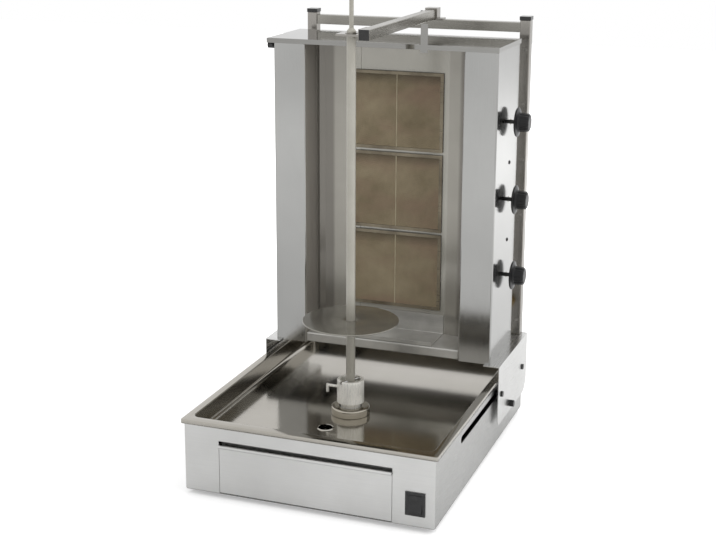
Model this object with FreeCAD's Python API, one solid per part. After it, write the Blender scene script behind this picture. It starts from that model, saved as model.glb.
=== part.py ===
import FreeCAD, Part
import math
import os
from FreeCAD import Placement, Rotation, Vector

# Gas doner kebab grill, free standing on a worktop. Millimetres, +Z up, front towards -Y.
# The origin is the middle of the base's footprint, on the surface that the feet stand on.

# Base: folded sheet body on rubber feet
base_width = 500.0
base_depth = 650.0
base_height = 144.0
base_sheet = 1.5
bend_radius = 3.0
front_return = 14.0
foot_height = 10.0
foot_radius = 16.0
foot_taper = 3.0
foot_inset = 34.0
gland_from_middle = 150.0
gland_height = 50.0
gland_bore = 3.5
gland_thread_radius = 8.0
gland_hex = 24.0
gland_body = 5.0
gland_dome_hex = 20.0
gland_dome = 9.0
gland_nut = 4.0
vent_length = 60.0
vent_width = 5.0
vent_pitch = 14.0
base_vent_count = 5

# Drip pan: pressed deck with a deep well
rim_overhang = 6.0
rim_skirt = 8.0
rim_corner = 5.0
well_margin = 10.0
well_front_margin = 16.0
well_rear_margin = 14.0
well_depth = 40.0
well_corner = 14.0
well_floor_slope = 6.0
drain_x = -17.0
drain_from_front = 142.0
drain_radius = 14.0
drain_lip = 2.0
drain_spout = 12.0

# Grease drawer: shallow tray behind a front with a rolled finger lip
drawer_centre_x = -5.0
drawer_width = 346.0
drawer_bottom_gap = 1.5
drawer_top_height = 101.0
drawer_slot_height = 7.0
drawer_side_gap = 0.6
guard_drop = 24.0
lip_radius = 3.5
tray_inset = 8.0
tray_length = 185.0
tray_height = 62.0
tray_sheet = 1.2
tray_corner = 12.0
stiffener_depth = 6.0
stiffener_drop = 12.0
runner_leg = 14.0
runner_height = 18.0
runner_spare = 30.0
runner_setback = 4.0
runner_gap = 0.5
slide_gap = 0.3

# Mains switch: rocker in a snap-in bezel
switch_from_side = 37.0
switch_height = 45.0
bezel_width = 38.0
bezel_height = 46.0
bezel_plate = 2.0
bezel_wall = 2.2
bezel_rim = 3.3
bezel_depth = 24.0
pocket_depth = 12.0
rocker_gap = 0.3
rocker_tip_gap = 1.4
rocker_tilt = 7.0
rocker_tip_rise = 2.2
rocker_dish = 0.2
rocker_edge = 2.5
rocker_keel = 5.0
rocker_keel_depth = 3.5
rocker_pin_radius = 1.2
rocker_pin_depth = 3.0
rocker_pin_reach = 1.6

# Spit drive: gear motor, bearing, shaft and coupling cup, all on one upright axis
drive_from_front = 235.0
fit_gap = 0.05
shaft_radius = 8.0
bearing_sleeve_radius = 15.0
bearing_sleeve_rise = 10.0
bearing_flange_width = 50.0
bearing_flange = 4.0
collar_radius = 39.0
collar_hub_radius = 36.5
collar_height = 16.0
collar_plate = 13.5
collar_clearance = 2.0
neck_radius = 20.0
neck_height = 13.7
cup_radius = 27.0
cup_height = 47.0
cup_recess_radius = 20.5
cup_recess_depth = 12.0
cup_shaft_depth = 21.7
bracket_drop = 12.5
bracket_sheet = 2.0
bracket_half_width = 60.0
bracket_foot = 16.0
bracket_half_depth = 30.0
gearbox_width = 90.0
gearbox_depth = 70.0
gearbox_height = 54.0
gearbox_offset = 5.0
gearbox_corner = 8.0
motor_radius = 25.0
motor_length = 96.0
shaft_in_gearbox = 40.0

# Spit: rod, drive pin and meat disc
rod_radius = 9.0
rod_tip_radius = 4.2
rod_tip_length = 67.0
rod_taper = 6.0
rod_above_bush = 3.0
pin_radius = 3.0
pin_length = 50.0
pin_angle = 63.0
pin_gap = 0.3
screw_radius = 3.0
cup_screw_height = 28.0
cup_screw_reach = 22.0
cup_screw_handle = 14.0
disc_height = 297.0
disc_radius = 95.0
disc_sheet = 3.0
disc_hub_radius = 18.0
disc_hub_height = 16.0
disc_screw_head = 13.0
disc_screw_length = 10.0

# Burner tower: two upright wings, floor, back, reflectors and cover
tower_front = 415.0
tower_bottom = 174.0
tower_inset = 12.5
tower_sheet = 1.2
sheet_bend = 2.0
wing_inner = 168.0
wing_depth = 175.0
wing_return = 14.0
floor_lip_top = 196.0
floor_lip_hem = 8.0
floor_lip_setback = 2.0
panel_setback = 95.0
burner_zone_bottom = 245.0
burner_pitch = 170.5
burner_count = 3
top_panel_height = 65.5
cover_overhang_left = 14.5
cover_overhang_front = 3.0
cover_skirt = 10.0
cover_lip = 6.0
cover_tab_x = 79.0
cover_tab_width = 15.0
cover_tab_rise = 41.0
cover_tab_drop = 16.0
seam_gap = 0.3
reflector_edge = 80.0
reflector_root = 110.0
reflector_knee_x = 138.0
reflector_knee_forward = 5.0
reflector_shoulder_x = 157.0
reflector_shoulder_forward = 10.0
reflector_end_forward = 17.0
reflector_flange = 12.0
shelf_side_gap = 1.0
shelf_front_rise = 9.0
shelf_back_rise = 42.0
shelf_setback = 3.5
back_vent_columns = 2
back_vent_rows = 4
back_vent_spacing = 42.0

# Burners: plaques in a sheet body behind a pressed frame
field_half_width = 94.0
field_height = 151.0
frame_border = 7.0
frame_sheet = 1.5
frame_proud = 5.5
plaque_thickness = 12.0
plaque_cover = 1.5
plaque_joint = 1.0
burner_wall = 2.0
burner_ledge = 3.0
burner_depth = 57.0
venturi_radius = 11.0
venturi_wall = 1.5
nozzle_air_gap = 6.0

# Gas train and controls on the right side
control_from_front = 525.0
control_pitch = 161.5
control_drop = 2.0
stem_radius = 4.0
stem_hole_radius = 6.0
valve_width = 26.0
valve_depth = 28.0
valve_height = 36.0
valve_boss_radius = 8.0
valve_from_panel = 14.0
stem_in_valve = 11.0
nozzle_radius = 5.0
nozzle_length = 8.0
port_radius = 6.0
port_length = 3.0
manifold_radius = 10.0
manifold_gap = 0.2
manifold_below_inlet = 16.0
manifold_above_valve = 24.0
inlet_radius = 10.48
inlet_wall = 3.0
inlet_height = 240.0
inlet_projection = 22.0
inlet_nut_hex = 32.0
inlet_nut = 7.0
knob_gap = 13.0
knob_flange_radius = 30.0
knob_flange = 4.0
knob_grip_radius = 19.0
knob_grip_length = 23.5
knob_grip_sides = 12
knob_push = 4.0
knob_roof = 6.0

# Carriage: side brackets, guide rollers, clamp bolts, posts and crossbar
bracket_gap = 8.0
bracket_top = 174.0
bracket_under_wing = 12.0
bracket_bottom = 45.0
bracket_front_lead = 10.0
bracket_front_radius = 14.0
bracket_rear_radius = 32.0
foot_setback = 5.0
slot_bottom = 100.5
roller_radius = 7.0
roller_play = 0.5
roller_front = 432.0
roller_rear = 607.0
roller_axle_radius = 4.0
roller_head_radius = 6.0
roller_head = 3.0
roller_inside = 4.0
slot_front = 165.0
clamp_from_front = 505.0
clamp_height = 61.0
clamp_radius = 4.0
clamp_hex = 13.0
clamp_head = 9.0
post_size = 22.0
post_wall = 1.5
post_behind_tower = 35.0
post_inset = 2.0
post_rise = 33.0
cap_height = 8.0
cap_proud = 1.0
cap_plug = 15.0
bar_size = 20.0
bar_drop = 5.0

# Top arm over the spit
arm_x = 34.0
arm_size = 20.0
arm_wall = 1.5
arm_rear_reach = 6.0
arm_front_reach = 27.0
arm_plug = 3.0
arm_plug_stem = 10.0
saddle_wall = 3.0
saddle_depth = 24.0
saddle_foot = 12.0
arm_screw_head = 6.5
arm_screw_head_length = 12.0
bush_radius = 12.0
bush_height = 6.0
bush_lift = 4.7
bush_plate = 4.0
bush_plate_left = 24.0
bush_plate_half = 21.0
bush_plate_rise = 1.0
bush_flange = 3.0

# Cover screw, on the left side panel
cover_screw_back = 7.0
cover_screw_down = 15.0
cover_screw_head = 7.0
cover_screw_length = 11.0
cover_screw_collar = 2.5
cover_screw_tail = 8.0

# Levels and places worked out from the sizes above
half_width = base_width / 2
front_y = -base_depth / 2
rear_y = base_depth / 2


def back(distance):
    """Place along Y, measured back from the base's front face."""
    return front_y + distance


def up(height):
    """Place along Z, measured up from the base's bottom edge."""
    return foot_height + height


floor_top = up(base_sheet)
deck_top = up(base_height)
deck_bottom = deck_top - base_sheet
well_floor = deck_top - well_depth
well_underside = well_floor - base_sheet
drive_y = back(drive_from_front)
bearing_top = well_floor + bearing_sleeve_rise
cup_bottom = bearing_top + slide_gap
cup_body_bottom = cup_bottom + neck_height
cup_top = cup_body_bottom + cup_height
shaft_top = cup_bottom + cup_shaft_depth
web_bottom = well_underside - bracket_drop - bracket_sheet
web_top = web_bottom + bracket_sheet
pin_z = cup_top - pin_radius - pin_gap

panel_y = back(tower_front + panel_setback)
wing_front_y = back(tower_front)
wing_rear_y = back(tower_front + wing_depth)
wing_outer = half_width - tower_inset
wing_bottom = up(tower_bottom)
burner_base = up(burner_zone_bottom)
tower_top = burner_base + burner_count * burner_pitch + top_panel_height
cover_under = tower_top - tower_sheet
tower_floor_top = up(floor_lip_top)
frame_y = panel_y - tower_sheet - frame_proud

plate_inner = half_width + bracket_gap
plate_outer = plate_inner + base_sheet
flange_z = up(bracket_top)
post_front_y = wing_rear_y + post_behind_tower
post_rear_y = post_front_y + post_size
post_outer = half_width - post_inset
post_inner = post_outer - post_size
post_top = tower_top + post_rise
bar_top = post_top - bar_drop
bar_y = post_front_y + (post_size - bar_size) / 2
slot_height = 2 * (roller_radius + roller_play)
slot_middle = up(slot_bottom) + slot_height / 2

arm_bottom = bar_top + slide_gap
arm_left = arm_x - arm_size / 2
arm_right = arm_x + arm_size / 2
arm_front_y = drive_y - arm_front_reach
arm_rear_y = bar_y + bar_size + arm_rear_reach
bush_bottom = arm_bottom + bush_lift
bush_top = bush_bottom + bush_height

control_y = back(control_from_front)
control_middle = burner_base + burner_count * burner_pitch / 2 - control_drop
control_heights = [control_middle + (i - (burner_count - 1) / 2) * control_pitch for i in range(burner_count)]
burner_heights = [burner_base + (i + 0.5) * burner_pitch for i in range(burner_count)]
panel_inner = wing_outer - tower_sheet
valve_right = panel_inner - valve_from_panel
valve_left = valve_right - valve_width


# Shape helpers

def box(x, y, z):
    """Block between two values along each axis, given in either order."""
    x, y, z = sorted(x), sorted(y), sorted(z)
    return Part.makeBox(x[1] - x[0], y[1] - y[0], z[1] - z[0], Vector(x[0], y[0], z[0]))


def rod(radius, start, end):
    """Round bar between two points."""
    along = Vector(*end) - Vector(*start)
    return Part.makeCylinder(radius, along.Length, Vector(*start), along)


def in_space(a, b, level, axis):
    """Point of an outline drawn square to the axis, at a level along it."""
    if axis == "x":
        return Vector(level, a, b)
    if axis == "y":
        return Vector(a, level, b)
    return Vector(a, b, level)


def corner_arc(before, corner, after, radius):
    """Start, middle and end of the round that a corner gets."""
    corner = Vector(corner[0], corner[1], 0)
    back_way = (Vector(before[0], before[1], 0) - corner).normalize()
    on_way = (Vector(after[0], after[1], 0) - corner).normalize()
    half = back_way.getAngle(on_way) / 2
    reach = radius / math.tan(half)
    inward = (back_way + on_way).normalize()
    middle = corner + inward * (radius / math.sin(half) - radius)
    return corner + back_way * reach, middle, corner + on_way * reach


def prism(points, radii, axis, low, high):
    """Outline with rounded corners, drawn square to an axis and extruded along it."""
    count = len(points)
    if not isinstance(radii, (list, tuple)):
        radii = [radii] * count
    stops = []
    for i in range(count):
        if radii[i] > 0:
            stops.append(corner_arc(points[i - 1], points[i], points[(i + 1) % count], radii[i]))
        else:
            stops.append([Vector(points[i][0], points[i][1], 0)] * 3)
    edges = []
    for i in range(count):
        placed = [in_space(p.x, p.y, low, axis) for p in stops[i]]
        following = stops[(i + 1) % count][0]
        if radii[i] > 0:
            edges.append(Part.Arc(*placed).toShape())
        edges.append(Part.makeLine(placed[2], in_space(following.x, following.y, low, axis)))
    face = Part.Face(Part.Wire(edges))
    return face.extrude(in_space(0, 0, high - low, axis))


def slab(x, y, z, radius):
    """Flat plate with four rounded upright corners."""
    points = [(x[0], y[0]), (x[1], y[0]), (x[1], y[1]), (x[0], y[1])]
    return prism(points, radius, "z", z[0], z[1])


def offset_corner(before, corner, after, distance):
    """Corner of a line moved to its left by a distance."""
    first = Vector(corner[0] - before[0], corner[1] - before[1], 0).normalize()
    second = Vector(after[0] - corner[0], after[1] - corner[1], 0).normalize()
    left_first = Vector(-first.y, first.x, 0)
    left_second = Vector(-second.y, second.x, 0)
    mitre = left_first + left_second
    mitre = mitre * (2 * distance / (mitre.Length ** 2))
    return corner[0] + mitre.x, corner[1] + mitre.y, first.cross(second).z


def bent_sheet(points, thickness, axis, low, high, bend=0.0):
    """Folded sheet: a line of faces, thickened to its left, with rounded bends."""
    ahead = [(2 * points[0][0] - points[1][0], 2 * points[0][1] - points[1][1])] + list(points)
    ahead.append((2 * points[-1][0] - points[-2][0], 2 * points[-1][1] - points[-2][1]))
    moved = []
    outer_radii = []
    inner_radii = []
    inside_bend = max(bend - thickness, 0.0)
    for i in range(1, len(ahead) - 1):
        x, y, turn = offset_corner(ahead[i - 1], ahead[i], ahead[i + 1], thickness)
        moved.append((x, y))
        is_end = i in (1, len(ahead) - 2)
        outer_radii.append(0.0 if is_end else (inside_bend if turn < 0 else bend))
        inner_radii.append(0.0 if is_end else (bend if turn < 0 else inside_bend))
    loop = list(points) + moved[::-1]
    return prism(loop, outer_radii + inner_radii[::-1], axis, low, high)


def turned(profile, base, direction=(0, 0, 1)):
    """Solid of revolution from (radius, distance) points along a direction."""
    points = [Vector(r, 0, z) for r, z in profile]
    face = Part.Face(Part.makePolygon(points + [points[0]]))
    solid = face.revolve(Vector(0, 0, 0), Vector(0, 0, 1), 360)
    solid.Placement = Placement(Vector(*base), Rotation(Vector(0, 0, 1), Vector(*direction)))
    return solid


def polygon_bar(sides, corner_radius, base, direction, length):
    """Bar with a regular many-sided section."""
    angles = [2 * math.pi * i / sides for i in range(sides)]
    points = [Vector(corner_radius * math.cos(a), corner_radius * math.sin(a), 0) for a in angles]
    bar = Part.Face(Part.makePolygon(points + [points[0]])).extrude(Vector(0, 0, length))
    bar.Placement = Placement(Vector(*base), Rotation(Vector(0, 0, 1), Vector(*direction)))
    return bar


def hexagon(across_flats, base, direction, length):
    """Hexagon bar."""
    return polygon_bar(6, across_flats / math.sqrt(3), base, direction, length)


def mirrored(shape):
    """Left-hand copy of a right-hand piece."""
    return shape.mirror(Vector(0, 0, 0), Vector(1, 0, 0))


def square_tube(x, y, z, wall, along):
    """Hollow bar of rectangular section, open at both ends along one axis."""
    outer = [x, y, z]
    inner = [(a + wall, b - wall) for a, b in outer]
    inner["xyz".index(along)] = outer["xyz".index(along)]
    return box(*outer).cut(box(*inner))


def united(shapes):
    """One solid from touching or crossing pieces."""
    first = shapes[0]
    return first.fuse(shapes[1:]).removeSplitter()


def save(name, *solids):
    """One STEP file per named piece or set of like pieces."""
    shape = solids[0] if len(solids) == 1 else Part.makeCompound(list(solids))
    shape.exportStep("parts/" + name + ".step")


# Base

def base_wrap():
    """Sides and back in one folded sheet, with the carriage slots."""
    line = [(half_width, front_y + base_sheet), (half_width, rear_y),
            (-half_width, rear_y), (-half_width, front_y + base_sheet)]
    wrap = bent_sheet(line, base_sheet, "z", floor_top, deck_bottom, bend_radius)
    slot_rear = roller_rear + roller_radius + roller_play
    low, high = up(slot_bottom), up(slot_bottom) + slot_height
    ends = [(back(slot_front), low), (back(slot_rear), low), (back(slot_rear), high), (back(slot_front), high)]
    slots = prism(ends, 0.99 * slot_height / 2, "x", -half_width - 1, half_width + 1)
    return wrap.cut([slots, gland_hole()] + base_vents())


def base_vents():
    """Cooling slots in the back wall, behind the motor."""
    cuts = []
    for i in range(base_vent_count):
        z = up(base_height / 2) + (i - (base_vent_count - 1) / 2) * vent_pitch
        cuts.append(box((-vent_length / 2, vent_length / 2), (rear_y - 2 * base_sheet, rear_y + 1),
                        (z - vent_width / 2, z + vent_width / 2)))
    return cuts


def base_front():
    """Front panel with the drawer opening, the guard behind its finger gap and the switch cut-out."""
    opening_left = drawer_centre_x - drawer_width / 2 - drawer_side_gap
    opening_right = drawer_centre_x + drawer_width / 2 + drawer_side_gap
    opening_top = up(drawer_top_height + drawer_slot_height)
    panel = box((-half_width, half_width), (front_y, front_y + base_sheet), (floor_top, deck_bottom))
    inner = half_width - base_sheet
    returns = [box((side * inner, side * (inner - base_sheet)), (front_y, front_y + front_return),
                   (floor_top, deck_bottom)) for side in (1, -1)]
    hood = box((opening_left, opening_right), (front_y, front_y + front_return),
               (opening_top, opening_top + base_sheet))
    guard = box((opening_left, opening_right), (front_y + front_return - base_sheet, front_y + front_return),
                (opening_top - guard_drop, opening_top + base_sheet))
    panel = united([panel, hood, guard] + returns)
    through = (front_y - 1, front_y + base_sheet + 1)
    mouth = box((opening_left, opening_right), through, (floor_top - 1, opening_top))
    x, z = switch_centre()
    half_w = bezel_width / 2 - bezel_rim + slide_gap
    half_h = bezel_height / 2 - bezel_rim + slide_gap
    window = box((x - half_w, x + half_w), through, (z - half_h, z + half_h))
    return panel.cut([mouth, window])


def base_bottom():
    """Bottom plate with cooling slots under the motor."""
    plate = slab((-half_width, half_width), (front_y, rear_y), (foot_height, floor_top), bend_radius)
    cuts = []
    for i in range(base_vent_count):
        x = (i - (base_vent_count - 1) / 2) * vent_pitch
        y = drive_y + gearbox_depth
        cuts.append(box((x - vent_width / 2, x + vent_width / 2), (y, y + vent_length), (0, floor_top + 1)))
    return plate.cut(cuts)


def feet():
    """Four rubber feet, each tapered, set in from the corners."""
    profile = [(0, 0), (foot_radius - foot_taper, 0), (foot_radius, foot_height), (0, foot_height)]
    return [turned(profile, (sx * (half_width - foot_inset), sy * (rear_y - foot_inset), 0))
            for sx in (-1, 1) for sy in (-1, 1)]


def well_block(inset, low):
    """Solid of the pan's well at a distance inside its inner faces."""
    x = half_width - well_margin - inset
    y0, y1 = back(well_front_margin) + inset, rear_y - well_rear_margin - inset
    block = slab((-x, x), (y0, y1), (low, deck_top + 1), well_corner - inset)
    bottom = [e for e in block.Edges if abs(e.BoundBox.ZMax - low) < 0.01]
    return block.makeChamfer(well_floor_slope, bottom)


def drip_pan():
    """Deck and well pressed from one sheet, with a turned-down rim and a drain."""
    x, y0, y1 = half_width + rim_overhang, front_y - rim_overhang, rear_y + rim_overhang
    rim = slab((-x, x), (y0, y1), (deck_top - rim_skirt, deck_top), rim_corner)
    under = slab((-x + base_sheet, x - base_sheet), (y0 + base_sheet, y1 - base_sheet),
                 (deck_top - rim_skirt - 1, deck_bottom), rim_corner - base_sheet)
    well = well_block(-base_sheet, well_underside).common(box((-x, x), (y0, y1), (0, deck_top)))
    drain = back(drain_from_front)
    spout = rod(drain_radius + base_sheet, (drain_x, drain, well_underside - drain_spout),
                (drain_x, drain, well_floor + drain_lip))
    pan = united([rim.cut(under), well]).cut(well_block(0, well_floor))
    pan = united([pan, spout])
    drain_hole = rod(drain_radius, (drain_x, drain, 0), (drain_x, drain, deck_top))
    sleeve_hole = rod(bearing_sleeve_radius + slide_gap, (0, drive_y, 0), (0, drive_y, deck_top))
    return pan.cut([drain_hole, sleeve_hole])


def pan_collar():
    """Raised ring round the cup's neck that keeps fat away from the drive shaft."""
    inner = neck_radius + collar_clearance
    profile = [(inner, 0), (collar_radius, 0), (collar_radius, collar_plate), (collar_hub_radius, collar_height),
               (inner, collar_height)]
    return turned(profile, (0, drive_y, well_floor))


def gland_place():
    return gland_from_middle, up(gland_height)


def gland_hole():
    x, z = gland_place()
    return rod(gland_thread_radius + slide_gap, (x, rear_y - 2 * base_sheet, z), (x, rear_y + 1, z))


def cable_gland():
    """Gland for the mains lead: hexagon body and dome outside, threaded sleeve and lock nut inside."""
    x, z = gland_place()
    sleeve_end = rear_y - base_sheet - gland_nut - 2
    body = hexagon(gland_hex, (x, rear_y, z), (0, 1, 0), gland_body)
    dome = hexagon(gland_dome_hex, (x, rear_y + gland_body, z), (0, 1, 0), gland_dome)
    sleeve = rod(gland_thread_radius, (x, sleeve_end, z), (x, rear_y + 1, z))
    nut = hexagon(gland_hex, (x, rear_y - base_sheet - gland_nut, z), (0, 1, 0), gland_nut)
    bore = rod(gland_bore, (x, sleeve_end - 1, z), (x, rear_y + gland_body + gland_dome + 1, z))
    return united([body, dome, sleeve, nut]).cut(bore)


# Drawer

def drawer_front():
    """Drawer front with a rolled lip along its top edge."""
    left, right = drawer_centre_x - drawer_width / 2, drawer_centre_x + drawer_width / 2
    low, top = floor_top + drawer_bottom_gap, up(drawer_top_height)
    roll_y, roll_z = front_y + base_sheet - lip_radius, top - lip_radius
    roll = rod(lip_radius, (left, roll_y, roll_z), (right, roll_y, roll_z))
    core = rod(lip_radius - base_sheet, (left, roll_y, roll_z), (right, roll_y, roll_z))
    plate = box((left, right), (front_y, front_y + base_sheet), (low, roll_z))
    stiffeners = [box(ends, (front_y, front_y + stiffener_depth), (low, top - stiffener_drop))
                  for ends in ((left, left + base_sheet), (right - base_sheet, right))]
    return united([plate, roll.cut(core)] + stiffeners)


def tray_span():
    half = drawer_width / 2 - tray_inset
    return drawer_centre_x - half, drawer_centre_x + half


def drawer_tray():
    """Open grease tray with rounded corners."""
    left, right = tray_span()
    y0, y1 = front_y + base_sheet, front_y + base_sheet + tray_length
    low = floor_top + base_sheet + slide_gap
    shell = slab((left, right), (y0, y1), (low, low + tray_height), tray_corner)
    hollow = slab((left + tray_sheet, right - tray_sheet), (y0 + tray_sheet, y1 - tray_sheet),
                  (low + tray_sheet, low + tray_height + 1), tray_corner - tray_sheet)
    return shell.cut(hollow)


def drawer_runners():
    """Two angle runners on the bottom plate, with an end stop each."""
    left, right = tray_span()
    y0 = front_y + runner_setback
    y1 = front_y + tray_length + runner_spare
    pieces = []
    for edge, side in ((right, 1), (left, -1)):
        outer = edge + side * (runner_gap + base_sheet)
        inner = edge - side * (runner_leg - runner_gap - base_sheet)
        if side > 0:
            line = [(outer, floor_top + runner_height), (outer, floor_top), (inner, floor_top)]
        else:
            line = [(inner, floor_top), (outer, floor_top), (outer, floor_top + runner_height)]
        angle = bent_sheet(line, -base_sheet, "y", y0, y1, 0)
        stop = box((inner, outer), (y1 - base_sheet, y1), (floor_top, floor_top + runner_height))
        pieces.append(united([angle, stop]))
    return pieces


# Switch

def switch_centre():
    return half_width - switch_from_side, up(switch_height)


def rocker_pocket():
    return bezel_width / 2 - bezel_rim - bezel_wall, bezel_height / 2 - bezel_rim - bezel_wall


def switch_bezel():
    """Bezel frame and body with a pocket for the rocker."""
    x, z = switch_centre()
    half_w, half_h = bezel_width / 2, bezel_height / 2
    plate = box((x - half_w, x + half_w), (front_y - bezel_plate, front_y), (z - half_h, z + half_h))
    body = box((x - half_w + bezel_rim, x + half_w - bezel_rim), (front_y, front_y + bezel_depth),
               (z - half_h + bezel_rim, z + half_h - bezel_rim))
    pocket_w, pocket_h = rocker_pocket()
    pocket = box((x - pocket_w, x + pocket_w), (front_y - bezel_plate - 1, front_y + pocket_depth),
                 (z - pocket_h, z + pocket_h))
    reach = pocket_w + rocker_pin_reach + slide_gap
    pins = rod(rocker_pin_radius + fit_gap, (x - reach, front_y + rocker_pin_depth, z),
               (x + reach, front_y + rocker_pin_depth, z))
    return united([plate, body]).cut([pocket, pins])


def switch_rocker():
    """Rocker with a dished face, shown pressed at its top."""
    x, z = switch_centre()
    pocket_w, pocket_h = rocker_pocket()
    w, h = pocket_w - rocker_gap, pocket_h - rocker_tip_gap
    pivot = front_y + rocker_pin_depth
    face = front_y - bezel_plate
    keel = pivot + rocker_keel_depth
    outline = [(face - rocker_tip_rise, z - h), (face + rocker_dish, z), (face - rocker_tip_rise, z + h),
               (face + rocker_edge, z + h), (keel, z + rocker_keel), (keel, z - rocker_keel),
               (face + rocker_edge, z - h)]
    rocker = prism(outline, 0, "x", x - w, x + w)
    reach = pocket_w + rocker_pin_reach
    pins = rod(rocker_pin_radius, (x - reach, pivot, z), (x + reach, pivot, z))
    rocker = united([rocker, pins])
    rocker.rotate(Vector(x, pivot, z), Vector(1, 0, 0), -rocker_tilt)
    return rocker


# Spit drive

def motor_bracket():
    """Hat-shaped bracket that hangs the gear motor under the pan."""
    w, foot = bracket_half_width, bracket_half_width + bracket_foot
    line = [(-foot, well_underside), (-w, well_underside), (-w, web_top), (w, web_top), (w, well_underside),
            (foot, well_underside)]
    hat = bent_sheet(line, -bracket_sheet, "y", drive_y - bracket_half_depth, drive_y + bracket_half_depth, 0)
    return hat.cut(rod(shaft_radius + fit_gap, (0, drive_y, web_bottom - 1), (0, drive_y, web_top + 1)))


def gear_motor():
    """Closed gearbox with the motor lying behind it."""
    w = gearbox_width / 2
    y0 = drive_y - gearbox_depth / 2 + gearbox_offset
    y1 = y0 + gearbox_depth
    gearbox = slab((-w, w), (y0, y1), (web_bottom - gearbox_height, web_bottom), gearbox_corner)
    middle = web_bottom - gearbox_height / 2
    can = rod(motor_radius, (0, y1 - 1, middle), (0, y1 + motor_length, middle))
    bore = rod(shaft_radius + fit_gap, (0, drive_y, web_bottom - shaft_in_gearbox - slide_gap),
               (0, drive_y, web_bottom + 1))
    return united([gearbox, can]).cut(bore)


def shaft_bearing():
    """Square-flanged bearing that carries the drive shaft through the pan."""
    half = bearing_flange_width / 2
    flange = box((-half, half), (drive_y - half, drive_y + half), (web_top, web_top + bearing_flange))
    sleeve = rod(bearing_sleeve_radius, (0, drive_y, web_top), (0, drive_y, bearing_top))
    bore = rod(shaft_radius + fit_gap, (0, drive_y, web_top - 1), (0, drive_y, bearing_top + 1))
    return united([flange, sleeve]).cut(bore)


def drive_shaft():
    """Shaft from inside the gearbox up into the cup's hub."""
    return rod(shaft_radius, (0, drive_y, web_bottom - shaft_in_gearbox), (0, drive_y, shaft_top))


def pin_bar(radius, length):
    """Round bar through the drive axis, along the drive pin's direction."""
    reach = Vector(length / 2, 0, 0)
    reach = Rotation(Vector(0, 0, 1), pin_angle).multVec(reach)
    middle = Vector(0, drive_y, pin_z)
    return rod(radius, middle - reach, middle + reach)


def drive_cup():
    """Coupling cup: turned body with a socket, a recess and a slot across it for the drive pin."""
    socket = rod_radius + 2 * fit_gap
    recess = cup_top - cup_recess_depth
    profile = [(shaft_radius + fit_gap, cup_bottom), (neck_radius, cup_bottom), (neck_radius, cup_body_bottom),
               (cup_radius, cup_body_bottom), (cup_radius, cup_top), (cup_recess_radius, cup_top),
               (cup_recess_radius, recess), (socket, recess), (socket, shaft_top),
               (shaft_radius + fit_gap, shaft_top)]
    cup = turned(profile, (0, drive_y, 0))
    half = pin_radius + pin_gap
    slot = box((-cup_radius - 1, cup_radius + 1), (-half, half), (pin_z - half, cup_top + 1))
    slot.rotate(Vector(0, 0, 0), Vector(0, 0, 1), pin_angle)
    slot.translate(Vector(0, drive_y, 0))
    z = cup_body_bottom + cup_screw_height
    thread = rod(screw_radius + fit_gap, (0, drive_y, z), (-cup_radius - 1, drive_y, z))
    return cup.cut([slot, thread])


def cup_screw():
    """Clamping screw with a bent handle."""
    z = cup_body_bottom + cup_screw_height
    end = -cup_radius - cup_screw_reach
    shank = rod(screw_radius, (-rod_radius - slide_gap, drive_y, z), (end, drive_y, z))
    handle = rod(screw_radius, (end, drive_y, z + screw_radius), (end, drive_y, z - cup_screw_handle))
    return united([shank, handle])


# Spit

def spit_rod():
    """Long spit rod with a thinner top end and a cross hole for the drive pin."""
    low = shaft_top + slide_gap
    step = bush_top + rod_above_bush
    tip = step + rod_taper + rod_tip_length
    profile = [(0, low), (rod_radius, low), (rod_radius, step), (rod_tip_radius, step + rod_taper),
               (rod_tip_radius, tip), (0, tip)]
    return turned(profile, (0, drive_y, 0)).cut(pin_bar(pin_radius, pin_length))


def spit_pin():
    return pin_bar(pin_radius, pin_length)


def meat_disc():
    """Carrying disc with a hub beneath it for the thumb screw."""
    top = up(disc_height) + disc_sheet / 2
    low = top - disc_sheet
    bore = rod_radius + 2 * fit_gap
    profile = [(bore, low - disc_hub_height), (disc_hub_radius, low - disc_hub_height), (disc_hub_radius, low),
               (disc_radius, low), (disc_radius, top), (bore, top)]
    z = low - disc_hub_height / 2
    thread = rod(screw_radius + fit_gap, (0, drive_y, z), (0, drive_y + disc_hub_radius + 1, z))
    return turned(profile, (0, drive_y, 0)).cut(thread)


def disc_screw():
    """Screw that locks the disc at its height on the rod."""
    z = up(disc_height) - disc_sheet / 2 - disc_hub_height / 2
    tip = drive_y + rod_radius + slide_gap
    face = drive_y + disc_hub_radius + slide_gap
    shank = rod(screw_radius, (0, tip, z), (0, face + 1, z))
    head = hexagon(disc_screw_head, (0, face, z), (0, 1, 0), disc_screw_length)
    return united([shank, head])


# Tower

def wing_column():
    """Upright sheet column: inner wall, front face, side panel, rear return and a closing floor."""
    side = wing_outer
    rear = wing_rear_y - tower_sheet
    line = [(side - wing_return, rear), (side, rear), (side, wing_front_y), (wing_inner, wing_front_y),
            (wing_inner, panel_y)]
    column = bent_sheet(line, -tower_sheet, "z", wing_bottom, cover_under, sheet_bend)
    bottom = box((wing_inner + tower_sheet, side - tower_sheet),
                 (wing_front_y + tower_sheet, rear - tower_sheet),
                 (wing_bottom, wing_bottom + tower_sheet))
    return united([column, bottom])


def wing_left():
    """Left column, with the cover screw's hole in its side panel."""
    y, z = cover_screw_place()
    hole = rod(screw_radius + fit_gap, (-wing_outer - 1, y, z), (-panel_inner + 1, y, z))
    return mirrored(wing_column()).cut(hole)


def wing_right():
    """Right column, with a hole in its side panel for each valve stem."""
    holes = [rod(stem_hole_radius, (panel_inner - 1, control_y, z), (wing_outer + 1, control_y, z))
             for z in control_heights]
    return wing_column().cut(holes)


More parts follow.
